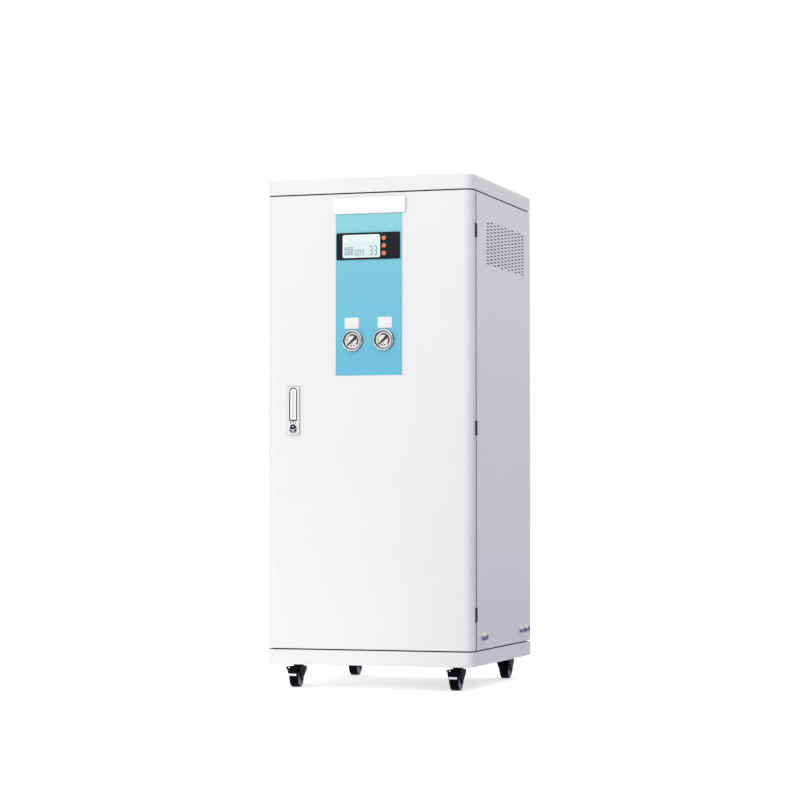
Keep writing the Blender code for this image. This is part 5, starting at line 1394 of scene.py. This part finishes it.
class PURIFIER_OT_tank(Maker):
    """Makes the storage tank with its weld band, foot and valve"""

    bl_idname = "purifier.tank"
    bl_label = "Tank"

    def make(self):
        low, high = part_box("pressure_tank")
        x = (low[0] + high[0]) / 2
        y = (low[1] + high[1]) / 2
        floor = low[2]
        radius = (high[0] - low[0]) / 2
        crown = [(radius * math.sin(a), (310 + 55 * math.cos(a)) * MM)
                 for a in np.linspace(0.09, QUARTER, 14)]
        bowl = [(radius * math.cos(a), (75 - 55 * math.sin(a)) * MM) for a in np.linspace(0, 0.86, 9)]
        band = [(radius, 196 * MM), (radius + 0.8 * MM, 194.5 * MM), (radius + 0.8 * MM, 188 * MM),
                (radius, 186.5 * MM)]
        neck = mm([(0, 387), (13, 387), (14, 386), (14, 368), (16, 365.4)])
        foot = mm([(75, 22), (76, 19), (76.5, 3), (75, 0), (72, 0), (70, 16), (0, 16)])
        parts = [(turned(spun(neck + crown + band + bowl + foot, 72), UP, (x, y, floor)),
                  "blue_tank_enamel")]
        axis = 387 * MM + 6.5 * MM
        flow = mm([(0, 42), (5, 42), (5, 41), (8.5, 41), (8.5, 27), (10, 26), (13, 25), (13, 8), (11.5, 6),
                   (11.5, -6), (13, -8), (13, -25), (12, -26), (0, -26)])
        stem = mm([(0, 19), (3.4, 19), (4, 18.4), (4, 10), (0, 10)])
        parts += [(turned(spun(flow, 40), RIGHT, (x, y, floor + axis)), "brass_fitting"),
                  (turned(spun(stem, 24), UP, (x, y, floor + axis)), "brass_fitting")]
        put("storage_tank", parts, "cabinet", ["pressure_tank"])
        dress("red_moulded_nylon", "tank_valve_lever", edge=0.6 * MM)


class PURIFIER_OT_vessels(Maker):
    """Makes the membrane housings and the polishing column"""

    bl_idname = "purifier.vessels"
    bl_label = "Vessels"

    def make(self):
        for side in ("left", "right"):
            node = f"membrane_housing_{side}"
            parts = self.vessel(node, 42.8, 48.8, 38, 345, 7.5, 16, "moulded_white_polypropylene",
                                "moulded_white_polypropylene")
            put(f"membrane_vessel_{side}", parts, "cabinet", [node])
        parts = self.vessel("polishing_column", 44.7, 47.7, 24, 330, 7.5, 18, "resin_filled_acrylic",
                            "moulded_white_polypropylene")
        put("resin_column", parts, "cabinet", ["polishing_column"])

    def vessel(self, node, radius, cap, cap_height, height, stub, stub_height, tube_kind, cap_kind):
        """A tube between two fluted caps with a stub on top. All sizes given to it are in millimetres."""
        middle = centre_of(node)
        at = (middle[0], middle[1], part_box(node)[0][2])
        end = height + stub_height
        upper = [(0, end), (stub - 1, end), (stub, end - 1), (stub, height), (cap - 8, height),
                 (cap - 2, height - 2.5), (cap, height - 6)]
        upper += [(cap, height - 8, 1.4), (cap, height - cap_height + 3, 1.4), (cap - 1, height - cap_height),
                  (radius, height - cap_height)]
        lower = [(radius, cap_height), (cap - 1, cap_height), (cap, cap_height - 3, 1.4), (cap, 3, 1.4),
                 (cap - 1, 0.4), (cap - 3, 0), (0, 0)]
        wall = [(radius, height - cap_height), (radius, cap_height)]
        shapes = [spun(mm(rows), 144, 24) for rows in (upper, lower, wall)]
        return set_at([(shapes[0], cap_kind), (shapes[1], cap_kind), (shapes[2], tube_kind)], UP, at)


class PURIFIER_OT_pump(Maker):
    """Makes the booster pump: finned motor, neck, head and foot"""

    bl_idname = "purifier.pump"
    bl_label = "Pump"

    def make(self):
        low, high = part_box("booster_pump")
        x = (low[0] + high[0]) / 2
        axis = low[2] + 66 * MM
        y = high[1] - 67 * MM
        motor = mm([(0, 66.5), (30, 66.5), (36, 64), (44, 57), (45.5, 54)])
        motor += mm([(45.6, 50), (45.6, 49, 2.4), (45.6, -49, 2.4), (45.6, -50), (45, -54.5), (30, -55)])
        neck = mm([(30, -55), (30, -67)])
        head = mm([(30, -67), (39, -67), (40, -68), (40, -88), (38.6, -89), (38.6, -90), (40, -91),
                   (40, -118), (36, -124), (30, -125), (0, -125)])
        ahead = np.array([[1, 0, 0], [0, 0, 1], [0, -1, 0]])
        parts = [(spun(motor, 144, 36), "black_motor_paint"), (spun(neck, 144), "cast_pump_aluminium"),
                 (spun(head, 144), "cast_pump_aluminium")]
        for k in range(6):
            spot = (33 * MM * math.cos(k * TURN / 6), 33 * MM * math.sin(k * TURN / 6), -124.4 * MM)
            parts += set_at(pan_head(3.2 * MM, 1.0 * MM), DOWN, spot)
        parts = set_at(parts, ahead, (x, y, axis))
        foot = block((x - 45 * MM, y - 60 * MM, low[2] + 0.1 * MM),
                     (x + 45 * MM, y + 60 * MM, low[2] + 6 * MM), 5 * MM, 1 * MM)
        web = block((x - 25 * MM, y - 52 * MM, low[2] + 5 * MM),
                    (x + 25 * MM, y + 52 * MM, axis - 24 * MM), 3 * MM, 1 * MM)
        parts += [(foot, "cast_pump_aluminium"), (web, "cast_pump_aluminium")]
        put("pump_unit", parts, "cabinet", ["booster_pump"])


class PURIFIER_OT_electrics(Maker):
    """Gives the electrics box, the inlet and its switch their finish, and makes the pins and the screws"""

    bl_idname = "purifier.electrics"
    bl_label = "Electrics"

    def make(self):
        dress("grey_box_paint", "electrics_box", edge=0.8 * MM)
        dress("black_moulded_abs", "mains_inlet", "power_rocker", edge=0.35 * MM)
        low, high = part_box("electrics_box")
        screws = []
        for x in (low[0] + 15 * MM, high[0] - 15 * MM):
            for z in (low[2] + 16 * MM, high[2] - 16 * MM):
                screws += set_at(pan_head(3.6 * MM, 1.8 * MM), FRONT, (x, low[1], z))
        put("box_screws", screws, "cabinet")
        inlet_low, inlet_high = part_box("mains_inlet")
        x = (inlet_low[0] + inlet_high[0]) / 2
        z = (inlet_low[2] + inlet_high[2]) / 2 - 15.5 * MM
        base = inlet_high[1] - 14 * MM
        pins = []
        for across, up in ((-7 * MM, -1.5 * MM), (0, 2.5 * MM), (7 * MM, -1.5 * MM)):
            pin = slab(oblong(2 * MM, 4 * MM, 0.3 * MM, 2, (across, up)), soft(HAIR, 11 * MM, 0.6 * MM, 0, 3))
            pins.append((turned(pin, REAR, (x, base, z)), "brass_pin"))
        put("inlet_pins", pins, "cabinet")


class PURIFIER_OT_tubes(Maker):
    """Gives the two water tubes their finish"""

    bl_idname = "purifier.tubes"
    bl_label = "Tubes"

    def make(self):
        dress("white_polyethylene_tube", "feed_tube")
        dress("blue_polyethylene_tube", "product_tube")


class PURIFIER_OT_screws(Maker):
    """Puts the screws round the back panel"""

    bl_idname = "purifier.screws"
    bl_label = "Screws"

    def make(self):
        low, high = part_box("back_panel")
        screws = []
        for x in (low[0] + 12 * MM, high[0] - 12 * MM):
            for z in np.linspace(low[2] + 25 * MM, high[2] - 25 * MM, 6):
                screws += set_at(pan_head(3.8 * MM, 1.9 * MM), REAR, (x, high[1], z))
        put("back_screws", screws, "cabinet")


class PURIFIER_OT_stage(Maker):
    """Sets up the floor, the soft light and the camera.

    The floor and the surroundings show plain white to the camera. What they throw on the object is cooler
    and dimmer towards +x, close to the cabinet on the floor and near the horizon in the surroundings."""

    bl_idname = "purifier.stage"
    bl_label = "Studio"

    shown_glow = 0.4
    shown_sky = 1.02

    def make(self):
        studio = looks("studio")
        reach = 40.0
        mesh = bpy.data.meshes.new("floor")
        mesh.from_pydata([(-reach, -reach, 0), (reach, -reach, 0), (reach, reach, 0), (-reach, reach, 0)], [],
                         [(0, 1, 2, 3)])
        floor = bpy.data.objects.new("floor", mesh)
        bpy.context.scene.collection.objects.link(floor)
        material, tree, shader, place = started("back_lit_sweep", Roughness=0.9, Specular_IOR_Level=0.1,
                                                Emission_Color=(1, 1, 1, 1))
        floor_colour = tuple(studio.floor)
        paper = shades(tree, grain(tree, place, 0.8), [(0.3, toned(studio.floor, 0.99)), (0.7, floor_colour)])
        across = add(tree, "ShaderNodeSeparateXYZ", {"Vector": place}).outputs["X"]
        seen = add(tree, "ShaderNodeLightPath").outputs["Is Camera Ray"]
        span = add(tree, "ShaderNodeMapRange", {"Value": across, "From Min": -1.0, "From Max": 4.0})
        cool = linear("#8E91AC")
        bounced = shades(tree, span.outputs[0], [(0.2, floor_colour), (0.33, cool), (0.42, cool),
                                                 (0.7, floor_colour)])
        tint = add(tree, "ShaderNodeMix", {"Factor": seen, 6: bounced, 7: paper}, data_type="RGBA")
        tree.links.new(tint.outputs[2], shader.inputs["Base Color"])
        under = add(tree, "ShaderNodeMapRange", {"Value": across, "From Min": -0.1, "From Max": 0.8,
                                                 "To Min": studio.glow, "To Max": 0.0})
        lit = add(tree, "ShaderNodeMix", {"Factor": seen, "A": under.outputs[0], "B": self.shown_glow})
        tree.links.new(lit.outputs[0], shader.inputs["Emission Strength"])
        mesh.materials.append(material)
        self.surroundings(studio)
        self.lamps(studio)
        self.camera(studio)

    def surroundings(self, studio):
        """White all round, but dimmer and cooler towards +x, which shades the cabinet's right side.

        The backdrop itself shows plain white."""
        world = bpy.data.worlds.new("studio")
        bpy.context.scene.world = world
        world.use_nodes = True
        tree = world.node_tree
        tree.nodes.clear()
        where = add(tree, "ShaderNodeTexCoord").outputs["Generated"]
        ways = add(tree, "ShaderNodeSeparateXYZ", {"Vector": where}).outputs
        slant = add(tree, "ShaderNodeMath", {0: ways["Z"], 1: -0.8, 2: ways["X"]}, operation="MULTIPLY_ADD")
        share = add(tree, "ShaderNodeMapRange", {"Value": slant.outputs[0], "From Min": -1.0})
        tint = shades(tree, share.outputs[0], [(0.0, linear("#B4B6BC")), (0.24, (1, 1, 1, 1)),
                                               (0.5, (1, 1, 1, 1)), (0.76, tuple(studio.shade))])
        above = add(tree, "ShaderNodeMapRange", {"Value": ways["Z"], "To Min": studio.sky,
                                                 "To Max": studio.overhead})
        light = add(tree, "ShaderNodeBackground", {"Color": tint, "Strength": above.outputs[0]})
        plain = add(tree, "ShaderNodeBackground", {"Color": (1, 1, 1, 1), "Strength": self.shown_sky})
        seen = add(tree, "ShaderNodeLightPath").outputs["Is Camera Ray"]
        both = add(tree, "ShaderNodeMixShader", {0: seen, 1: light.outputs[0], 2: plain.outputs[0]})
        add(tree, "ShaderNodeOutputWorld", {"Surface": both.outputs[0]})

    def lamps(self, studio):
        """One large soft panel in front, high and to the left."""
        data = bpy.data.lights.new("front_panel", "AREA")
        data.shape = "RECTANGLE"
        data.size = 3.0
        data.size_y = 2.4
        data.energy = studio.key
        data.color = (1.0, 0.965, 0.93)
        lamp = bpy.data.objects.new("front_panel", data)
        bpy.context.scene.collection.objects.link(lamp)
        lamp.location = (-1.2, -4.2, 2.6)
        lamp.rotation_euler = (math.radians(66), 0, math.radians(-16))

    def camera(self, studio):
        """The photograph's view: a long lens, turned a little to the left and tilted up."""
        data = bpy.data.cameras.new("view")
        data.lens = studio.focal
        data.sensor_width = 36
        data.clip_end = 100
        camera = bpy.data.objects.new("view", data)
        bpy.context.scene.collection.objects.link(camera)
        camera.location = studio.place
        camera.rotation_euler = (QUARTER + studio.pitch, 0, studio.yaw)
        bpy.context.scene.camera = camera
        bpy.context.scene.view_settings.view_transform = "Standard"


STEPS = (PURIFIER_OT_case, PURIFIER_OT_gasket, PURIFIER_OT_face, PURIFIER_OT_display, PURIFIER_OT_gauges,
         PURIFIER_OT_lock, PURIFIER_OT_hinges, PURIFIER_OT_casters, PURIFIER_OT_ports, PURIFIER_OT_filters,
         PURIFIER_OT_tank, PURIFIER_OT_vessels, PURIFIER_OT_pump, PURIFIER_OT_electrics,
         PURIFIER_OT_tubes, PURIFIER_OT_screws, PURIFIER_OT_stage)


class PURIFIER_PT_sidebar(bpy.types.Panel):
    """Lists the pieces in the order in which they are made"""

    bl_label = "Water purifier"
    bl_idname = "PURIFIER_PT_sidebar"
    bl_space_type = "VIEW_3D"
    bl_region_type = "UI"
    bl_category = "Purifier"

    def draw(self, context):
        for step in STEPS:
            self.layout.operator(step.bl_idname, text=step.bl_label)


def register():
    """Adds the settings, the operators and the sidebar panel to Blender."""
    for group, kind in LOOKS.items():
        bpy.utils.register_class(kind)
        setattr(bpy.types.Scene, "purifier_" + group, PointerProperty(type=kind))
    for step in STEPS:
        bpy.utils.register_class(step)
    bpy.utils.register_class(PURIFIER_PT_sidebar)


def unregister():
    """Takes them out again."""
    bpy.utils.unregister_class(PURIFIER_PT_sidebar)
    for step in reversed(STEPS):
        bpy.utils.unregister_class(step)
    for group, kind in LOOKS.items():
        delattr(bpy.types.Scene, "purifier_" + group)
        bpy.utils.unregister_class(kind)


def main():
    """Registers the add-on, then makes every piece in order."""
    register()
    for step in STEPS:
        group, name = step.bl_idname.split(".")
        getattr(getattr(bpy.ops, group), name)()


if __name__ == "__main__":
    main()
